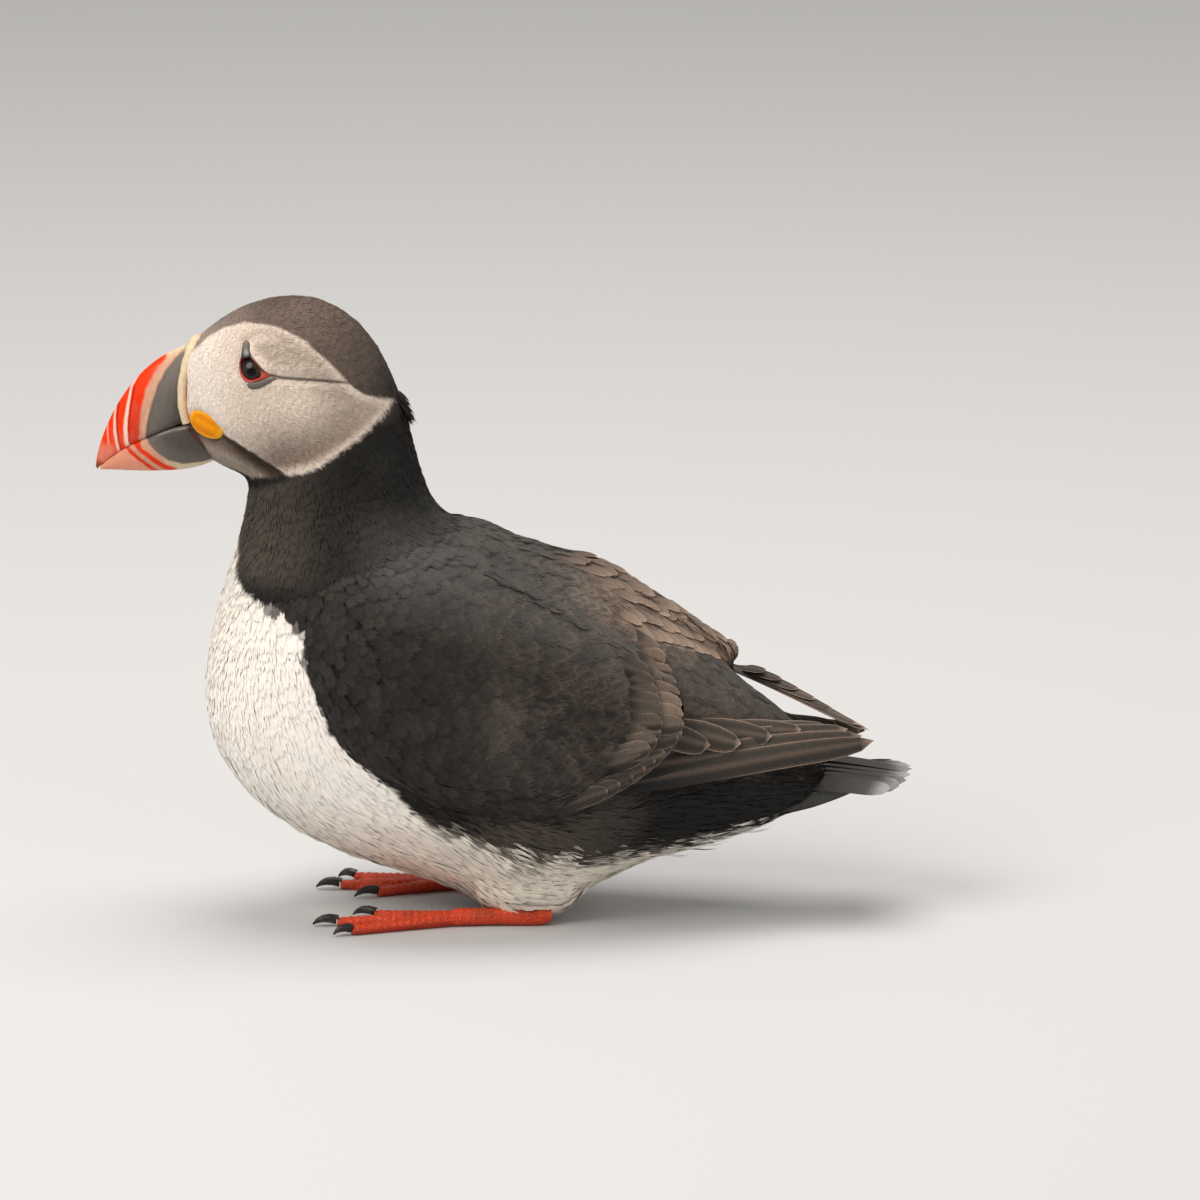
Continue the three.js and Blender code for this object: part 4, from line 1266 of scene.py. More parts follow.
def seated(line, side, names, flat):
    """A (y, z) path laid on CAD nodes as seen from one side, smoothed, and its normals. They lean to
    face up and a little inward by the share flat(z)."""
    tree = node_tree_of(*names)
    x, known, facing = [], [], []
    for y, z in line:
        spot, normal, _, _ = tree.ray_cast((side * CAST_FROM, y, z), (-side, 0, 0))
        known.append(spot is not None)
        x.append(spot.x if spot else 0)
        facing.append(tuple(normal) if spot else (side, 0, 0))
    known, order = np.array(known), np.arange(len(line))
    if not known.any():
        raise ValueError(f"a feather misses {names}")
    x = np.interp(order, order[known], np.array(x)[known])
    weights = np.exp(-((order[:, None] - order) ** 2) / 8)
    weights /= weights.sum(1, keepdims=True)
    facing = np.array(facing)
    facing[~known] = facing[known].mean(0)
    facing = unit(weights @ facing * np.array([1, 0.3, 0.6]) + np.array([side * 0.5, 0, 0.1]))
    facing = unit(mixed(facing, (-side * 0.25, 0, 1), flat(np.asarray(line)[:, 1])))
    return np.stack([weights @ x, *np.asarray(line).T], axis=1), facing


def quills(side, feathers, names, seed, tips, edge, brown, flat, ruffle=0.0):
    """Long feathers given as (stations of (y, z) from root to tip, half width, lift at root and at tip).
    Ruffle is how much the lifts of the tips differ, and how dark the upper webs are."""
    rng = np.random.default_rng(seed)
    paths, normals = zip(*[seated(along(f[0], np.linspace(0, 1, 13)), side, names, flat) for f in feathers])
    lifts = np.array([f[2:4] for f in feathers], float).T
    lifts[1] += ruffle * rng.uniform(-0.5, 1, len(feathers))

    def tint(verts, line, own, seeds):
        hue = palette()
        base = mixed(even(hue.dark, line), hue.faded, np.minimum(brown + 0.3 * seeds, 1))
        base = mixed(base, hue.fringe, 0.45 * ramp(0.7, 1.5, brown + 0.3 * seeds))
        shade = 0.66 + 0.55 * ramp(-1, 1, -own.across) * np.clip(own.along, 0, 1) ** 2
        colours = mixed(plumage(line[:, 0])[:, None], base[:, None], ramp(0.25, 0.6, own.along)[None])
        colours = colours * (shade - ruffle * ramp(-0.1, 0.5, own.across))[None, :, None]
        rim = ramp(0.9, 1.0, own.edge) * ramp(0.45, 0.75, own.along)
        shaft = 0.2 * np.exp(-((own.across / 0.07) ** 2))
        return mixed(colours, hue.fringe, edge * np.maximum(rim, shaft)[None] * (0.6 + 0.4 * seeds)[:, None])

    widths = np.array([f[1] for f in feathers], float)
    return grow([quill_shape(*tips)], np.array(paths), np.array(normals), widths, lifts, 0.22, tint, rng)


def fan(tips, headings, reaches, half, lift, count, bow):
    """Feathers whose tips follow one line, with headings in degrees above level, going back. Bow is
    how far the roots lie aside, as a share of the length."""
    shares = np.linspace(0, 1, count)
    tip = along(tips, shares)
    angle = np.radians(np.interp(shares, np.linspace(0, 1, len(headings)), headings))
    reach = np.interp(shares, np.linspace(0, 1, len(reaches)), reaches)[:, None]
    way = np.stack([np.cos(angle), np.sin(angle)], 1)
    aside = np.stack([-way[:, 1], way[:, 0]], 1)
    root = tip - way * reach + aside * bow * reach
    middle = tip - way * reach * 0.5
    return [
        ([root[i], middle[i], tip[i]], half, lift - 3.3, lift + 0.35 * (1 - shares[i])) for i in range(count)
    ]


def stacked(tips):
    """Lines of primaries that start together, one under the other, and part towards their tips."""
    lines = []
    for i, (y, z) in enumerate(tips):
        low = 66.6 - 0.4 * i
        lines.append(([(50, 71.4 - 0.3 * i), (64, low), ((64 + y) / 2, (low + z) / 2 + 0.3), (y, z)], 2.4))
    return lines


# For each wing, as (y, z): the tips of the coverts and of the secondaries from the top down, with the
# headings of the coverts; the inner primaries as (y, z) of the tip, height of the middle line and half
# width, with the place where they start; and the outer primaries, and those that lie stacked over
# them, as (line, half width). flat says how much the feathers at a height lie flat as on a table
WINGS = {
    "left": SimpleNamespace(
        coverts=[(43, 78.4), (46.6, 74.4), (49, 70), (50.2, 65.6), (50.4, 61), (48.6, 57), (44.5, 53.4)],
        headings=(-34, -24, -12, 0, 10, 18), flat=lambda z: 0.0 * z,
        secondaries=[(49, 58.4), (46.6, 55.4), (43, 52.2), (39, 49.4), (34, 46.4), (29, 43.8)],
        inner=[
            (58, 53.4, 58.6, 4.4), (66.8, 53, 57.8, 4.3), (75.6, 54.2, 57, 4), (84, 55.2, 56.4, 3.5),
            (91.4, 55.4, 55.8, 3),
        ],
        outer=[
            ([(16, 44), (44, 46.4), (72, 49.4), (104.8, 53)], 3.8),
            ([(16, 47), (44, 50), (72, 52.2), (101.4, 54.2)], 3.8),
            ([(20, 50), (46, 53.6), (72, 54.6), (97.4, 55.4)], 3.6),
        ],
        stack=[], start=(20, 56),
    ),
    "right": SimpleNamespace(
        coverts=[(58, 74.6), (62.4, 71.2), (63, 67.6), (58.4, 63.6), (52.4, 60.4), (45.6, 57.4)],
        headings=(-26, -16, -4, 6, 14, 20), flat=lambda z: 0.6 * ramp(68, 77, z),
        secondaries=[(62, 65.4), (59.4, 62.4), (55, 59.6), (50, 57), (44, 54.8), (38, 52.8)],
        inner=[],
        outer=[
            ([(34, 50), (58, 50), (80, 49), (103, 48)], 3.2),
            ([(34, 54), (56, 53), (76, 50.6), (96, 49)], 3.2),
            ([(34, 58), (52, 56), (70, 52.6), (86, 50)], 3.2),
        ],
        stack=stacked([
            (104, 50.4), (101.5, 51.6), (98, 53), (94, 54.9), (89, 57.3), (84, 59.6), (79, 62), (74.5, 64)
        ]),
        start=(40, 65),
    ),
}


def layered(lines):
    """Feathers given as (stations, half width), each lying over the one before it."""
    return [(line, half, -1.4 + 0.3 * i, -0.9 + 0.25 * i) for i, (line, half) in enumerate(lines)]


def inner_primaries(wing):
    """Short inner primaries with slanted tips, on top of the long ones."""
    result = []
    for i, (y, z, level, half) in enumerate(reversed(wing.inner)):
        line = [wing.start, (y - 30, level + 1.2), (y - 15, level + 0.4), (y, z + 0.8)]
        result.append((line, half, -4.5 + 0.25 * i, -0.1 + 0.22 * i))
    return result


def build_scapulars():
    """Rows of worn feathers whose ends overhang the rump from both wings, browner on the right."""
    # For each row: tips of its feathers, how many, their half width, and how bleached they are
    rows = (
        ([(16, 43, 84), (10, 51, 81.5), (3, 59, 77.5), (-7, 65.5, 73.5)], 11, 2.1, 0.4),
        ([(13, 38, 87), (7, 46, 84.5), (0, 54, 80.5), (-10, 62, 76.5)], 11, 2.1, 0.4),
        ([(-2, 45, 84), (-10, 51, 81), (-17, 58, 78), (-24, 65, 75), (-30, 69, 71)], 10, 2.1, 0.45),
        ([(6, 36, 90), (0, 41, 87), (-8, 47, 83), (-16, 55, 79), (-23, 62.5, 74)], 11, 2.1, 0.35),
        ([(3, 31, 92), (-4, 36, 90), (-11, 42, 86), (-18, 49, 82), (-25, 57, 77)], 11, 2.1, 0.3),
        ([(0, 26, 93), (-7, 30, 92), (-14, 36, 88), (-20, 43, 84), (-26, 51, 80)], 10, 2.1, 0.22),
        ([(-3, 20, 95), (-10, 24, 93), (-16, 30, 90), (-22, 37, 86), (-27, 45, 82)], 9, 2.1, 0.15),
    )
    batches = []
    for number, (tips, count, half, bleach) in enumerate(rows):
        def tint(verts, line, own, seeds):
            hue = palette()
            base = mixed(even(hue.faded, line), hue.fringe, bleach * (0.8 + 0.8 * seeds))
            # Rows with little bleach take some slate tone, partly a painted bluish sheen
            base = mixed(base, hue.slate, 0.5 * ramp(0.2, 0, bleach))
            colours = base[:, None] * (0.38 + 0.72 * np.clip(own.along, 0, 1) ** 2)[None, :, None]
            rim = ramp(0.85, 1.0, own.edge) * ramp(0.5, 0.8, own.along)
            fringed = (0.3 + 1.2 * bleach) * rim[None] * (0.5 + 0.5 * seeds)[:, None]
            return mixed(colours, hue.fringe, fringed)

        rng = np.random.default_rng(71 + number)
        ends = along(tips, np.linspace(0, 1, count))
        roots, _ = settle(ends + np.array([0, -10, 4]))
        path, normals = lay(roots, rng.uniform(10.5, 12.5, count), rng.normal(0, 0.1, count), 6)
        normals = unit(normals + np.array([0.25, 0, 0.5]))
        lifts = (-0.8, 1.1 + 0.15 * (number % 4))
        batches += grow([quill_shape(0.52, 0.58)], path, normals, half, lifts, 0.18, tint, rng)
    coat_piece("scapulars", batches, vane_finish())


def build_flight_feathers():
    for name, side in SIDES.items():
        wing = WINGS[name]
        nodes = (f"wing_{name}", f"primaries_{name}", "trunk")
        number = 40 + side * 5
        folded = layered(wing.outer) + inner_primaries(wing)
        batches = quills(side, folded, nodes, number, (0.58, 0.84), 0.9, 0.3, wing.flat)
        if wing.stack:
            batches += quills(side, layered(wing.stack), nodes, number, (0.58, 0.84), 0.9, 0.5, np.ones_like)
        coat_piece(f"primaries_{name}_vanes", batches, vane_finish(), (f"primaries_{name}",))
        headings, reaches = (12, 18, 24, 26, 24, 20), (24, 28, 28, 24)
        secondaries = fan(wing.secondaries, headings, reaches, 3.0, 0.6, 8, bow=-0.1)
        batches = quills(side, secondaries, nodes, number + 1, (0.72, 0.8), 0.6, 0.3, wing.flat)
        coverts = fan(wing.coverts, wing.headings, (10, 16, 18, 18), 3.1, 0.9, 12, bow=0.04)
        batches += quills(side, coverts, nodes, number + 2, (0.66, 0.76), 0.8, 0.9, wing.flat, ruffle=0.4)
        upper_row = [(y - 6, z + 0.4) for y, z in wing.coverts[1:]]
        inner = fan(upper_row, wing.headings[1:], (11, 15), 3.0, 1.2, 10, bow=0.04)
        batches += quills(side, inner, nodes, number + 3, (0.66, 0.76), 0.6, 0.7, wing.flat, ruffle=0.4)
        coat_piece(f"wing_rows_{name}", batches, vane_finish())


def free_feathers(name, feathers, steps, shape, half, lifts, thickness, tint, rng, replaces=()):
    """Feathers given as (stations, way that they face), which keep to their own lines, as one piece."""
    path = np.array([along(stations, np.linspace(0, 1, steps + 1)) for stations, _ in feathers])
    normals = unit(np.array([[out] * (steps + 1) for _, out in feathers], float))
    batches = grow([shape], path, normals, half, lifts, thickness, tint, rng)
    coat_piece(name, batches, vane_finish(), replaces)


def build_tail():
    """Sixteen short tail feathers in a low roof, with worn grey ends."""
    rng = np.random.default_rng(51)
    count = 16
    feathers = []
    for i in range(count):
        aside = (i + 0.5) / count * 2 - 1
        root = (aside * 6, 72, 46 - 8 * abs(aside))
        tip = (aside * 20.5, 116 - 6 * aside**2 - 1.2 * (i % 2), 40.4 - 1.2 * abs(aside))
        middle = ((root[0] + tip[0]) / 2, (root[1] + tip[1]) / 2, (root[2] + tip[2]) / 2 + 0.8)
        feathers.append(([root, middle, tip], (aside * 0.55, 0.15, 1)))
    order = np.abs(np.arange(count) - (count - 1) / 2)
    lifts = (0.4 - order * 0.15, 0.5 - order * 0.12)

    def tint(verts, line, own, seeds):
        hue = palette()
        # Each tail feather takes some slate tone, partly a painted bluish sheen
        base = mixed(even(hue.dark, line), hue.slate, 0.5 + 0.4 * seeds)
        colours = base[:, None] * (0.55 + 0.5 * ramp(0.35, 0.85, own.along))[None, :, None]
        worn = ramp(0.82, 0.98, own.along)[None] * (0.3 + 0.5 * seeds)[:, None]
        return mixed(colours, linear(WORN_TAIL), worn)

    free_feathers("tail_vanes", feathers, 8, quill_shape(0.84, 0.84), 3.8, lifts, 0.5, tint, rng, ("tail",))


def build_undertail():
    """Dark feathers that close the wedge between the vent and the tail."""
    rng = np.random.default_rng(57)
    count = 34
    feathers = []
    for i in range(count):
        aside = (i + 0.5) / count * 2 - 1
        short = rng.uniform(0, 9)
        low = 5 * abs(aside)
        tip = (aside * 13, 101 - short, 35.5 + 0.6 * low - 0.3 * short)
        stations = [(aside * 9, 62, 27 + low), (aside * 12, 80 - short * 0.6, 28 + low), tip]
        feathers.append((stations, (aside * 1.5, 0, -1 + abs(aside))))
    lifts = (0.0, rng.uniform(0, 0.6, count))

    def tint(verts, line, own, seeds):
        hue = palette()
        # Each feather takes some slate tone, partly a painted bluish sheen
        base = mixed(even(hue.dark, line), hue.slate, 0.5 + 0.4 * seeds)
        return base[:, None] * (0.9 + 0.6 * ramp(0.5, 1, own.along))[None, :, None]

    free_feathers("undertail_coverts", feathers, 6, quill_shape(0.45, 0.5), 2.3, lifts, 0.25, tint, rng)


# ---- eyes ----------------------------------------------------------------------------------------
def face_seat(side, y, z):
    """How far out the skin is at (y, z)."""
    return guide().tree.ray_cast((side * FACE_CAST_FROM, y, z), (-side, 0, 0))[0].x


def eyeball_middle(side):
    """The middle of an eyeball that fills the opening of the lids, in mm."""
    around = [(1, EYE_MIDDLE[0] + 1.2 * y, EYE_MIDDLE[1] + 1.2 * z) for y, z in EYE_OPENING]
    seats = [face_seat(side, y, z) for _, y, z in around]
    seat, back_slope, up_slope = np.linalg.lstsq(np.array(around), np.array(seats), rcond=None)[0]
    outward = side * unit(np.array([1.0, -back_slope, -up_slope]))
    y, z = EYE_MIDDLE[0] - 0.3, EYE_MIDDLE[1] - 0.8
    shown = np.array((seat + back_slope * y + up_slope * z, y, z))
    return shown - outward * math.sqrt(sizes().eye_radius**2 - EYE_SHOWN**2)


def over_eye(side, middle, y, z):
    """How far out the ball or the skin is at (y, z), whichever is further."""
    reach = sizes().eye_radius**2 - (y - middle[1]) ** 2 - (z - middle[2]) ** 2
    ball = abs(middle[0]) + math.sqrt(reach) if reach > 0 else 0
    return side * max(ball + 0.05, abs(face_seat(side, y, z)) + 0.25)


def build_eyeball(name, side, middle):
    hue = palette()
    radius = sizes().eye_radius
    gaze = unit(np.array([side * 1.0, -0.16, 0.12]))
    made = bmesh.new()
    turn = Vector(gaze).to_track_quat("Z", "Y").to_matrix().to_4x4()
    place = Matrix.Translation(middle.tolist()) @ turn
    bmesh.ops.create_uvsphere(made, u_segments=48, v_segments=40, radius=radius, matrix=place)

    def tint(points):
        off = np.linalg.norm(np.cross(unit(points - middle), gaze), axis=1) * radius
        colours = mixed(even(hue.claw * 0.15, points), hue.iris, ramp(1.25, 1.6, off))
        return mixed(colours, hue.claw * 0.6, ramp(2.5, 3.3, off))

    finish_piece(made, f"eyeball_{name}", wet_finish(), tint, (f"eye_{name}",))


def build_lid(name, side, middle):
    hue = palette()
    rim = []
    for dy, dz in [*EYE_OPENING, EYE_OPENING[0]]:
        y, z = EYE_MIDDLE[0] + dy, EYE_MIDDLE[1] + dz
        rim.append((over_eye(side, middle, y, z), y, z))

    def girth(t):
        half = 0.2 + 0.16 * ramp(0.46, 0.58, t) - 0.1 * ramp(0.85, 1, t) + 0.06 * ramp(0.15, 0, t)
        return half, half * 1.3

    def tint(points):
        back, high = points[:, 1] - EYE_MIDDLE[0], points[:, 2] - EYE_MIDDLE[1]
        colours = mixed(even(hue.eye_ring * 0.6, points), hue.eye_ring * 1.1, ramp(-1, -3, high))
        top = np.maximum(ramp(0.8, 2.4, high), ramp(0.6, 1.6, back) * ramp(-1.8, -0.6, high))
        colours = mixed(colours, hue.malar * 0.35, 0.9 * top)
        return colours * (0.9 + 0.15 * mottle(points, 0.6, 7))[:, None]

    lid = tube(rim, girth, 96, 12, lambda p: even((side, -0.1, 0.05), p), is_loop=True)
    finish = horn_finish("wet_lid_skin", 0.35, 0.5, 0.85, 1.1, 0.3)
    finish_piece(lid, f"eyelid_{name}", finish, tint)


def build_plate(name, side, middle, part):
    hue = palette()
    stations = PLATES[part]
    line = [(over_eye(side, middle, y, z) + side * 0.3, y, z) for y, z, _ in stations]
    widths = [(half, half, half) for _, _, half in stations]

    def girth(t):
        half = along(widths, t)[:, 0] * np.clip(np.minimum(t, 1 - t) / 0.12, 0.02, 1) ** 0.5
        return half, np.minimum(0.62, half * 0.6)

    def tint(points):
        far, share = line_distance(points[:, 1:], [(y, z) for y, z, _ in stations])
        colours = mixed(even(hue.horn, points), hue.horn * 0.45, ramp(0.4, 1.1, far))
        if part == "upper":
            shine = ramp(0.9, 0.1, far) * ramp(0.75, 0.4, share)
            colours = mixed(colours, linear(PLATE_SHINE), shine)
            colours = mixed(colours, hue.claw * 0.4, ramp(0.42, 0.1, share))
            colours = mixed(colours, hue.face_shade * 0.8, 0.7 * ramp(0.6, 0.95, share))
        return colours

    plate = tube(line, girth, 40, 20, lambda p: even((side, 0, 0), p))
    finish = horn_finish("plate_horn", 0.5, 0.6, 0.8, 1.15, 0.3)
    replaced = (f"eye_plate_{part}_{name}",)
    finish_piece(plate, f"plate_{part}_{name}", finish, tint, replaced)


def build_eyes():
    for name, side in SIDES.items():
        middle = eyeball_middle(side)
        build_eyeball(name, side, middle)
        build_lid(name, side, middle)
        for part in PLATES:
            build_plate(name, side, middle, part)


# ---- the bill ------------------------------------------------------------------------------------
def beyond(places, edge):
    """How far forward of an edge that runs down the side of the bill each (y, z) lies."""
    (top_y, top), (low_y, low) = edge[0], edge[-1]
    return inside(places, [*edge, (low_y, low - 20), (-150, low - 20), (-150, top + 20), (top_y, top + 20)])


def mandible(stations, rows, around, relief):
    """A lofted mandible; relief(places) is how far its sides stand out at each (y, z)."""
    stations = np.asarray(stations, float)

    def place(share, turn):
        t = np.clip((share * rows - 1) / (rows - 2), 0, 1)
        here = along(stations, t)
        ridge, mouth = here[:, 0:2], here[:, 2:4]
        middle = (ridge + mouth) / 2
        up = unit(ridge - mouth)
        reach = np.linalg.norm(ridge - mouth, axis=1) / 2
        open_end = (share > 1e-6) & (share < 1 - 1e-6)
        cos, sin = np.cos(turn) * open_end, np.sin(turn) * open_end
        places = middle + up * (reach * cos)[:, None]
        boxy = np.sign(sin) * np.abs(sin) ** (1 - 0.55 * ramp(0.2, -0.9, cos))
        half = here[:, 4] * (1 - here[:, 5] * cos) + relief(places)
        return np.stack([half * boxy, places[:, 0], places[:, 1]], axis=1)

    return rolled(rows, around, place)


def bill_horn():
    return horn_finish("bill_horn_sheath", 0.4, 1.6, 0.86, 1.1, 0.25, gloss=0.1)


def build_upper_bill():
    hue = palette()

    def relief(places):
        total = 0.25 * np.exp(-((line_distance(places, PLATE_EDGE)[0] / 0.5) ** 2))
        for groove, wide in GROOVES:
            far, share = line_distance(places, groove)
            total = total - wide * (0.3 + 0.8 * share) * np.exp(-((far / (0.35 + 0.5 * wide)) ** 2))
        return total

    def tint(points):
        places = points[:, 1:]
        wobble = 0.25 * mottle(points, 1.5, 8)
        in_band = beyond(places, PLATE_EDGE) + wobble
        slate = even(hue.bill_plate, points)
        shade = ramp(-9, -1, in_band) * (1 + 0.15 * mottle(points, 3, 14))
        colours = mixed(slate * 0.8, hue.bill_plate * 1.6, shade)
        colours = mixed(colours, hue.bill_band, ramp(-0.3, 0.3, in_band))
        near_ridge = ramp(2.6, 0.6, line_distance(places, RIDGE_LINE)[0])
        colours = mixed(colours, hue.rim, 0.9 * near_ridge)
        in_red = beyond(places, BAND_EDGE) + wobble
        # The red darkens low down near the cream band: a painted shade of the groove there
        low = 0.75 * ramp(156, 140, points[:, 2]) * ramp(4.4, 1.0, in_red)
        red = mixed(even(hue.bill_red, points), hue.bill_red * (0.6, 0.35, 0.6), low)
        red = mixed(red, hue.bill_band, 0.14 * ramp(0, 1, mottle(points, 3, 9)))
        colours = mixed(colours, red, ramp(-0.5, 0.6, in_red))
        for groove, wide in GROOVES:
            far, share = line_distance(places, groove)
            # A dark red line just behind each groove is a painted shadow
            behind, _ = line_distance(places, [(y + wide + 0.35, z) for y, z in groove])
            drawn = ramp(0, 0.25, share) * ramp(0.1, 0.3, wide)
            colours = mixed(colours, hue.bill_red * (0.35, 0.2, 0.5), 0.8 * drawn * ramp(0.45, 0.1, behind))
            pale = 0.3 + 1.4 * wide
            wide = wide * ramp(-0.2, 0.7, share)
            light = np.minimum(pale, 0.9) * ramp(wide + 0.25, wide - 0.15, far)
            colours = mixed(colours, linear(GROOVE_PALE), light)
        worn = ramp(5, 1.5, np.linalg.norm(places - BILL_HOOK, axis=1) + wobble * 2)
        colours = mixed(colours, hue.bill_band, 0.55 * worn)
        tip = ramp(3.4, 1.6, np.linalg.norm(places - BILL_TIP, axis=1) + wobble)
        colours = mixed(colours, linear(BILL_TIP_HORN), 0.9 * tip)
        return colours

    upper = mandible(UPPER_BILL, 110, 112, relief)
    finish_piece(upper, "bill_sheath_upper", bill_horn(), tint, ("bill_upper",))


def build_lower_bill():
    hue = palette()

    def relief(places):
        far, _ = line_distance(places, LOWER_GROOVE_EDGE)
        step, _ = line_distance(places, LOWER_PLATE_EDGE)
        return 0.2 * np.exp(-((step / 0.5) ** 2)) - 0.3 * np.exp(-((far / 0.5) ** 2))

    def tint(points):
        places = points[:, 1:]
        wobble = 0.2 * mottle(points, 1.5, 10)
        near_band = ramp(-6, -0.5, beyond(places, LOWER_PLATE_EDGE))
        colours = mixed(even(hue.bill_plate * 0.8, points), hue.bill_plate * 1.45, near_band)
        # A painted highlight along the lower lip, which lightens the shade of the mouth line
        lip, _ = line_distance(places, LIP_LINE)
        lip_highlight = 0.75 * ramp(0.5, 0.15, lip) * ramp(-101, -97, points[:, 1])
        colours = mixed(colours, linear(LIP_HIGHLIGHT), lip_highlight)
        cream = mixed(even(hue.bill_band, points), hue.rim, ramp(-99, -92, points[:, 1]))
        bands = [
            (LOWER_PLATE_EDGE, cream), (LOWER_BAND_EDGE, hue.bill_red * 0.9),
            (LOWER_RED_EDGE, hue.bill_band), (LOWER_GROOVE_EDGE, hue.bill_red * 0.8),
            (LOWER_LINE_EDGE, linear(LOWER_TIP_PINK)),
        ]
        for edge, tone in bands:
            colours = mixed(colours, tone, ramp(-0.25, 0.25, beyond(places, edge) + wobble))
        gape, _ = line_distance(places, GAPE_LINE)
        colours = mixed(colours, linear(GAPE_DARK), 0.8 * ramp(0.7, 0.2, gape))
        return colours

    lower = mandible(LOWER_BILL, 90, 96, relief)
    finish_piece(lower, "bill_sheath_lower", bill_horn(), tint, ("bill_lower",))


def build_rim():
    hue = palette()

    def girth(t):
        """Half width and half height: a little uneven, and broad over the ridge."""
        return 1.35 + 0.06 * np.sin(t * 60) + 0.5 * np.exp(-(((t - 0.5) / 0.13) ** 2)), 0.9

    def facing(p):
        return np.stack([p[:, 0] * 1.5, -np.ones(len(p)) * 2, (p[:, 2] - 150) * 0.35], axis=1)

    arch = np.array([*RIM, *[(-x, y, z) for x, y, z in reversed(RIM[:-1])]])
    rim = tube(arch, girth, 150, 20, facing)
    for vertex, pit in zip(rim.verts, mottle(spots_of(rim), 0.7, 12)):
        vertex.co += vertex.normal * (0.07 * pit)

    def tint(points):
        colours = even(hue.rim, points) * (1 + 0.08 * mottle(points, 1.2, 13))[:, None]
        behind = -beyond(points[:, 1:], RIM_LINE)
        colours = mixed(colours, hue.bill_band, 0.7 * ramp(-0.3, 0.9, behind))
        return mixed(colours, linear(RIM_STAIN), 0.8 * ramp(0.5, 1.2, behind) * ramp(157, 148, points[:, 2]))

    finish = horn_finish("rim_skin", 0.5, 0.7, 0.86, 1.08, 0.5)
    finish_piece(rim, "bill_rim_fold", finish, tint, ("bill_rim",))


def build_rosettes():
    hue = palette()
    for name, side in SIDES.items():
        made = bmesh.new()
        bmesh.ops.create_uvsphere(made, u_segments=56, v_segments=48, radius=1)
        points = spots_of(made)
        across, lengthwise = points[:, 2], points[:, 1]
        pleats = 0.06 * np.cos(across * ROSETTE_PLEATS) * np.clip(points[:, 0], 0, 1)
        pleats = pleats * ramp(1, 0.5, np.abs(lengthwise))
        rim_edge = 0.1 * np.exp(-(((np.hypot(across, lengthwise) - 0.86) / 0.1) ** 2))
        points = points * (1 + (pleats + rim_edge)[:, None] * np.array([1.0, 0.1, 0.1]))
        points = points * (ROSETTE.depth / 2, ROSETTE.length / 2, ROSETTE.height / 2)
        turn = Matrix.Rotation(-side * ROSETTE.turn, 3, "Z") @ Matrix.Rotation(-ROSETTE.tilt, 3, "X")
        if side < 0:
            points = points * (-1, 1, 1)
        own = points.copy()
        points = points @ np.array(turn).T + np.array(ROSETTE.middle) * (side, 1, 1)
        move_to(made, points)
        bmesh.ops.recalc_face_normals(made, faces=made.faces)

        def tint(_):
            height = own[:, 2] / (ROSETTE.height / 2)
            reach = np.hypot(height, own[:, 1] / (ROSETTE.length / 2))
            colours = even(hue.rosette, own)
            # The hollows between the pleats are darkened: a painted shade
            pleat_shade = 0.5 * ramp(0.2, -0.9, np.cos(height * ROSETTE_PLEATS))
            colours = mixed(colours, hue.rosette * (0.8, 0.55, 0.4), pleat_shade)
            return mixed(colours, linear(ROSETTE_EDGE), 0.6 * ramp(0.7, 0.95, reach))

        finish = horn_finish("rosette_skin", 0.45, 0.9, 0.9, 1.08, 0.3, gloss=0.1)
        finish_piece(made, f"gape_rosette_{name}", finish, tint, (f"rosette_{name}",))


# ---- feet ----------------------------------------------------------------------------------------
def build_feet():
    hue = palette()
    grain = sizes().skin_fine_grain
    for name in SIDES:
        made = fused([node_copy(f"foot_{name}", 0.2), node_copy(f"leg_{name}", 0.2)], grain, 4)
        made.normal_update()
        points = spots_of(made)
        scutes = 0.14 * np.cos(points[:, 1] * TURN / 2.1) * ramp(1.6, 2.6, points[:, 2])
        for vertex, high in zip(made.verts, scutes):
            vertex.co += vertex.normal * (high - 0.15)
            vertex.co.z = max(vertex.co.z, 0.02)

        def foot_tint(spots):
            web = ramp(2.4, 1.5, spots[:, 2]) * ramp(-14, -20, spots[:, 1])
            colours = mixed(even(hue.foot, spots), hue.foot * (0.75, 0.6, 0.6), 0.6 * web)
            return mixed(colours, hue.malar, 0.3 * ramp(0.1, 0.9, mottle(spots, 4, 15)))

        replaced = (f"leg_{name}", f"foot_{name}")
        finish_piece(made, f"webbed_foot_{name}", scaled_finish(), foot_tint, replaced)
        for toe in ("inner", "middle", "outer"):
            claw = fused([node_copy(f"claw_{toe}_{name}", 0.05)], 0.22, 3)
            finish = horn_finish("claw_horn", 0.32, 0.8, 0.8, 1.2, 0.25)

            def claw_tint(spots):
                scuffed = 0.35 * ramp(0, 1, mottle(spots, 1.5, 16))
                return mixed(even(hue.claw, spots), hue.horn, scuffed)

            replaced = (f"claw_{toe}_{name}",)
            finish_piece(claw, f"horn_claw_{toe}_{name}", finish, claw_tint, replaced)


# ---- stage ---------------------------------------------------------------------------------------
# In m: the camera looks at its target from this far above level, and the picture is so wide there
CAMERA_TARGET = (0, 0.0268, 0.0901)
CAMERA_ELEVATION = math.radians(12)
PICTURE_WIDTH = 0.342
# In mm
SENSOR_WIDTH = 36
# In m: the place that the lights shine on, and half the width of the floor
LIT_PLACE = (0, 0, 0.09)
FLOOR_HALF_WIDTH = 6
FLOOR_GREY = "#c2c6ca"
SKY_GREY = "#cdc8c2"


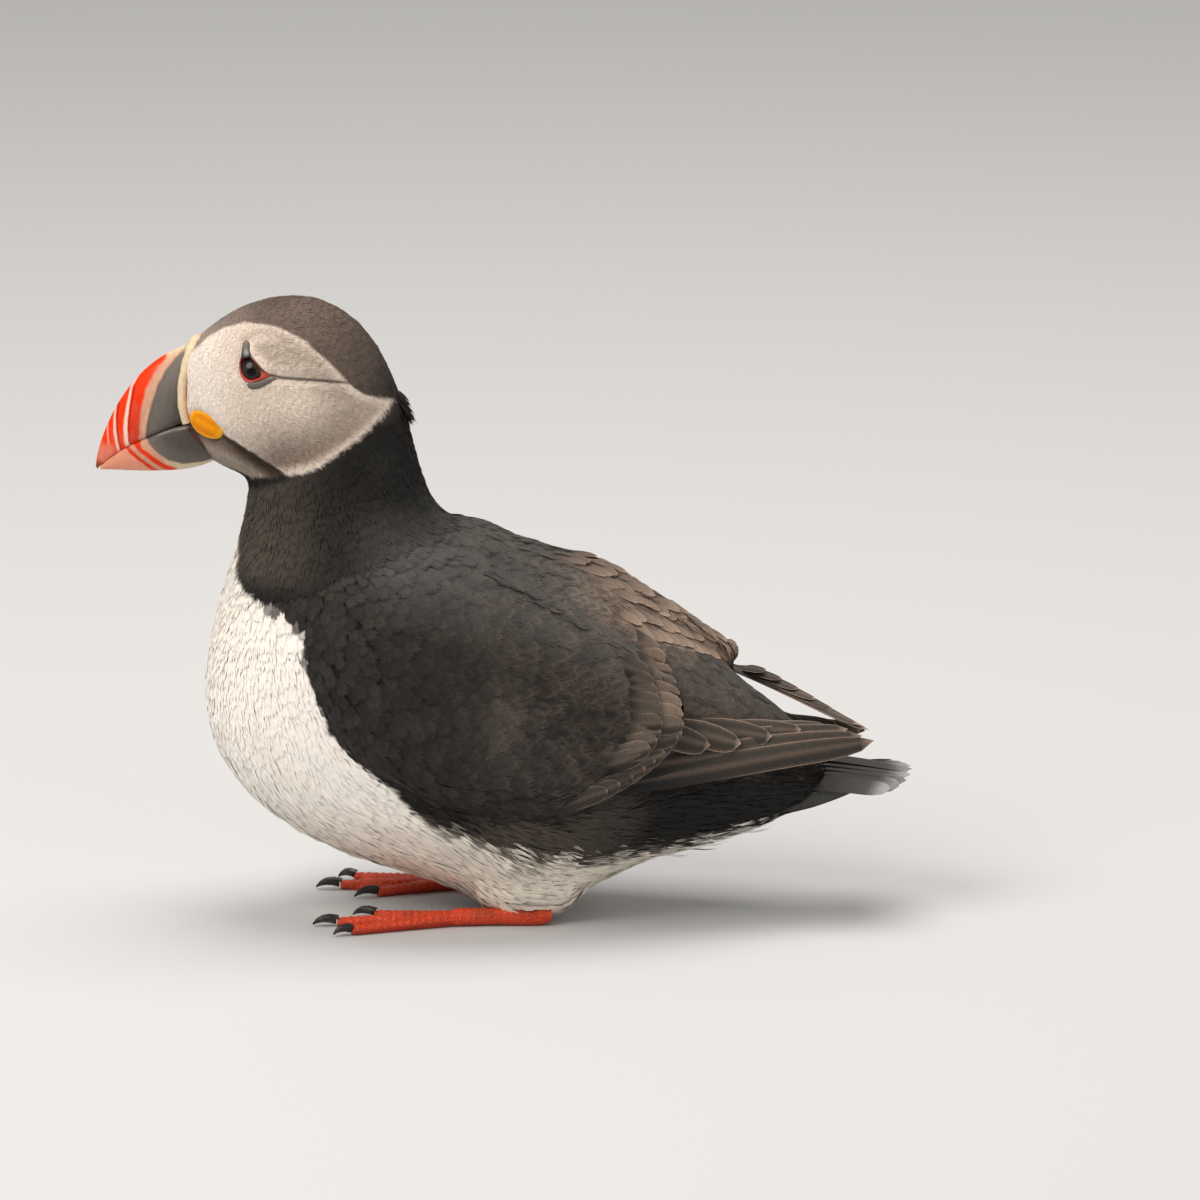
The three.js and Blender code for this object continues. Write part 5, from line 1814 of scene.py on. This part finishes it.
def area_light(name, place, size, power, tone):
    """A round light that shines on the middle of the bird, with its diameter in m and power in W."""
    data = bpy.data.lights.new(name, "AREA")
    data.shape = "DISK"
    data.size = size
    data.energy = power
    data.color = linear(tone)
    made = bpy.data.objects.new(name, data)
    made.location = place
    made.rotation_euler = (Vector(LIT_PLACE) - Vector(place)).to_track_quat("-Z", "Y").to_euler()
    bpy.context.scene.collection.objects.link(made)


def build_stage():
    scene = bpy.context.scene
    made = bmesh.new()
    bmesh.ops.create_grid(made, x_segments=1, y_segments=1, size=FLOOR_HALF_WIDTH)
    mesh = bpy.data.meshes.new("floor")
    made.to_mesh(mesh)
    made.free()
    floor = bpy.data.objects.new("floor", mesh)
    scene.collection.objects.link(floor)
    plain, _, shader = material("plain_paper", 0.9)
    shader.inputs["Base Color"].default_value = (*linear(FLOOR_GREY), 1)
    mesh.materials.append(plain)

    world = bpy.data.worlds.new("soft_studio")
    scene.world = world
    world.use_nodes = True
    world.node_tree.nodes["Background"].inputs["Color"].default_value = (*linear(SKY_GREY), 1)
    world.node_tree.nodes["Background"].inputs["Strength"].default_value = 0.7

    area_light("key", (1.0, -1.1, 1.5), 1.3, 29, "#fff5ea")
    area_light("fill", (1.6, 1.2, 0.6), 1.4, 5, "#fff6ee")
    area_light("top", (-0.3, 0.1, 1.7), 1.3, 24, "#fff6ee")

    distance = sizes().camera_distance * MM
    target = Vector(CAMERA_TARGET)
    data = bpy.data.cameras.new("camera")
    data.sensor_width = SENSOR_WIDTH
    data.lens = SENSOR_WIDTH * distance / PICTURE_WIDTH
    data.clip_end = 50
    camera = bpy.data.objects.new("camera", data)
    backward = Vector((math.cos(CAMERA_ELEVATION), 0, math.sin(CAMERA_ELEVATION)))
    camera.location = target + distance * backward
    camera.rotation_euler = (target - camera.location).to_track_quat("-Z", "Y").to_euler()
    scene.collection.objects.link(camera)
    scene.camera = camera
    scene.view_settings.view_transform = "Standard"


# ---- operators and panel -------------------------------------------------------------------------
class PuffinSkin(bpy.types.Operator):
    """Makes the one skin that lies under the coat"""

    bl_idname = "puffin.skin"
    bl_label = "Skin"

    def execute(self, context):
        build_skin()
        return {"FINISHED"}


class PuffinEyes(bpy.types.Operator):
    """Makes the eyeballs, their lids and the horn plates round them"""

    bl_idname = "puffin.eyes"
    bl_label = "Eyes"

    def execute(self, context):
        build_eyes()
        return {"FINISHED"}


class PuffinBill(bpy.types.Operator):
    """Makes the horn sheaths of the bill, its rim and the rosettes of the gape"""

    bl_idname = "puffin.bill"
    bl_label = "Bill"

    def execute(self, context):
        build_upper_bill()
        build_lower_bill()
        build_rim()
        build_rosettes()
        return {"FINISHED"}


class PuffinFeet(bpy.types.Operator):
    """Makes the scaled legs, the webbed feet and the claws"""

    bl_idname = "puffin.feet"
    bl_label = "Feet"

    def execute(self, context):
        build_feet()
        return {"FINISHED"}


class PuffinHeadCoat(bpy.types.Operator):
    """Covers the face and the cap with short down"""

    bl_idname = "puffin.head_coat"
    bl_label = "Head coat"

    def execute(self, context):
        build_head_coat()
        return {"FINISHED"}


class PuffinBodyCoat(bpy.types.Operator):
    """Covers the neck, breast, belly and flanks with soft tufts"""

    bl_idname = "puffin.body_coat"
    bl_label = "Body coat"

    def execute(self, context):
        build_neck_coat()
        build_body_coat()
        build_loose_feathers()
        return {"FINISHED"}


class PuffinBackCoat(bpy.types.Operator):
    """Covers the back and the wings with contour feathers"""

    bl_idname = "puffin.back_coat"
    bl_label = "Back coat"

    def execute(self, context):
        build_back_coat()
        return {"FINISHED"}


class PuffinFlightFeathers(bpy.types.Operator):
    """Makes the scapulars, coverts, secondaries and primaries of the folded wings"""

    bl_idname = "puffin.flight_feathers"
    bl_label = "Flight feathers"

    def execute(self, context):
        build_scapulars()
        build_flight_feathers()
        return {"FINISHED"}


class PuffinTail(bpy.types.Operator):
    """Makes the short fan of the tail"""

    bl_idname = "puffin.tail"
    bl_label = "Tail"

    def execute(self, context):
        build_tail()
        build_undertail()
        return {"FINISHED"}


class PuffinStage(bpy.types.Operator):
    """Makes the floor, the lights and the camera"""

    bl_idname = "puffin.stage"
    bl_label = "Stage"

    def execute(self, context):
        build_stage()
        return {"FINISHED"}


OPERATORS = (
    PuffinStage, PuffinSkin, PuffinEyes, PuffinBill, PuffinFeet, PuffinHeadCoat, PuffinBodyCoat,
    PuffinBackCoat, PuffinFlightFeathers, PuffinTail,
)


class PuffinPanel(bpy.types.Panel):
    """Lists the steps that build the puffin"""

    bl_idname = "VIEW3D_PT_puffin"
    bl_label = "Puffin"
    bl_space_type = "VIEW_3D"
    bl_region_type = "UI"
    bl_category = "Puffin"

    def draw(self, context):
        for operator in OPERATORS:
            self.layout.operator(operator.bl_idname)
        for group in (context.scene.puffin_sizes, context.scene.puffin_colours):
            for key in group.__annotations__:
                self.layout.prop(group, key)


CLASSES = (PuffinSizes, PuffinColours, *OPERATORS, PuffinPanel)


def register():
    for cls in CLASSES:
        bpy.utils.register_class(cls)
    bpy.types.Scene.puffin_sizes = bpy.props.PointerProperty(type=PuffinSizes)
    bpy.types.Scene.puffin_colours = bpy.props.PointerProperty(type=PuffinColours)


def unregister():
    del bpy.types.Scene.puffin_colours
    del bpy.types.Scene.puffin_sizes
    for cls in reversed(CLASSES):
        bpy.utils.unregister_class(cls)


def main():
    """Builds everything."""
    register()
    for operator in OPERATORS:
        group, name = operator.bl_idname.split(".")
        getattr(getattr(bpy.ops, group), name)()


if __name__ == "__main__":
    main()
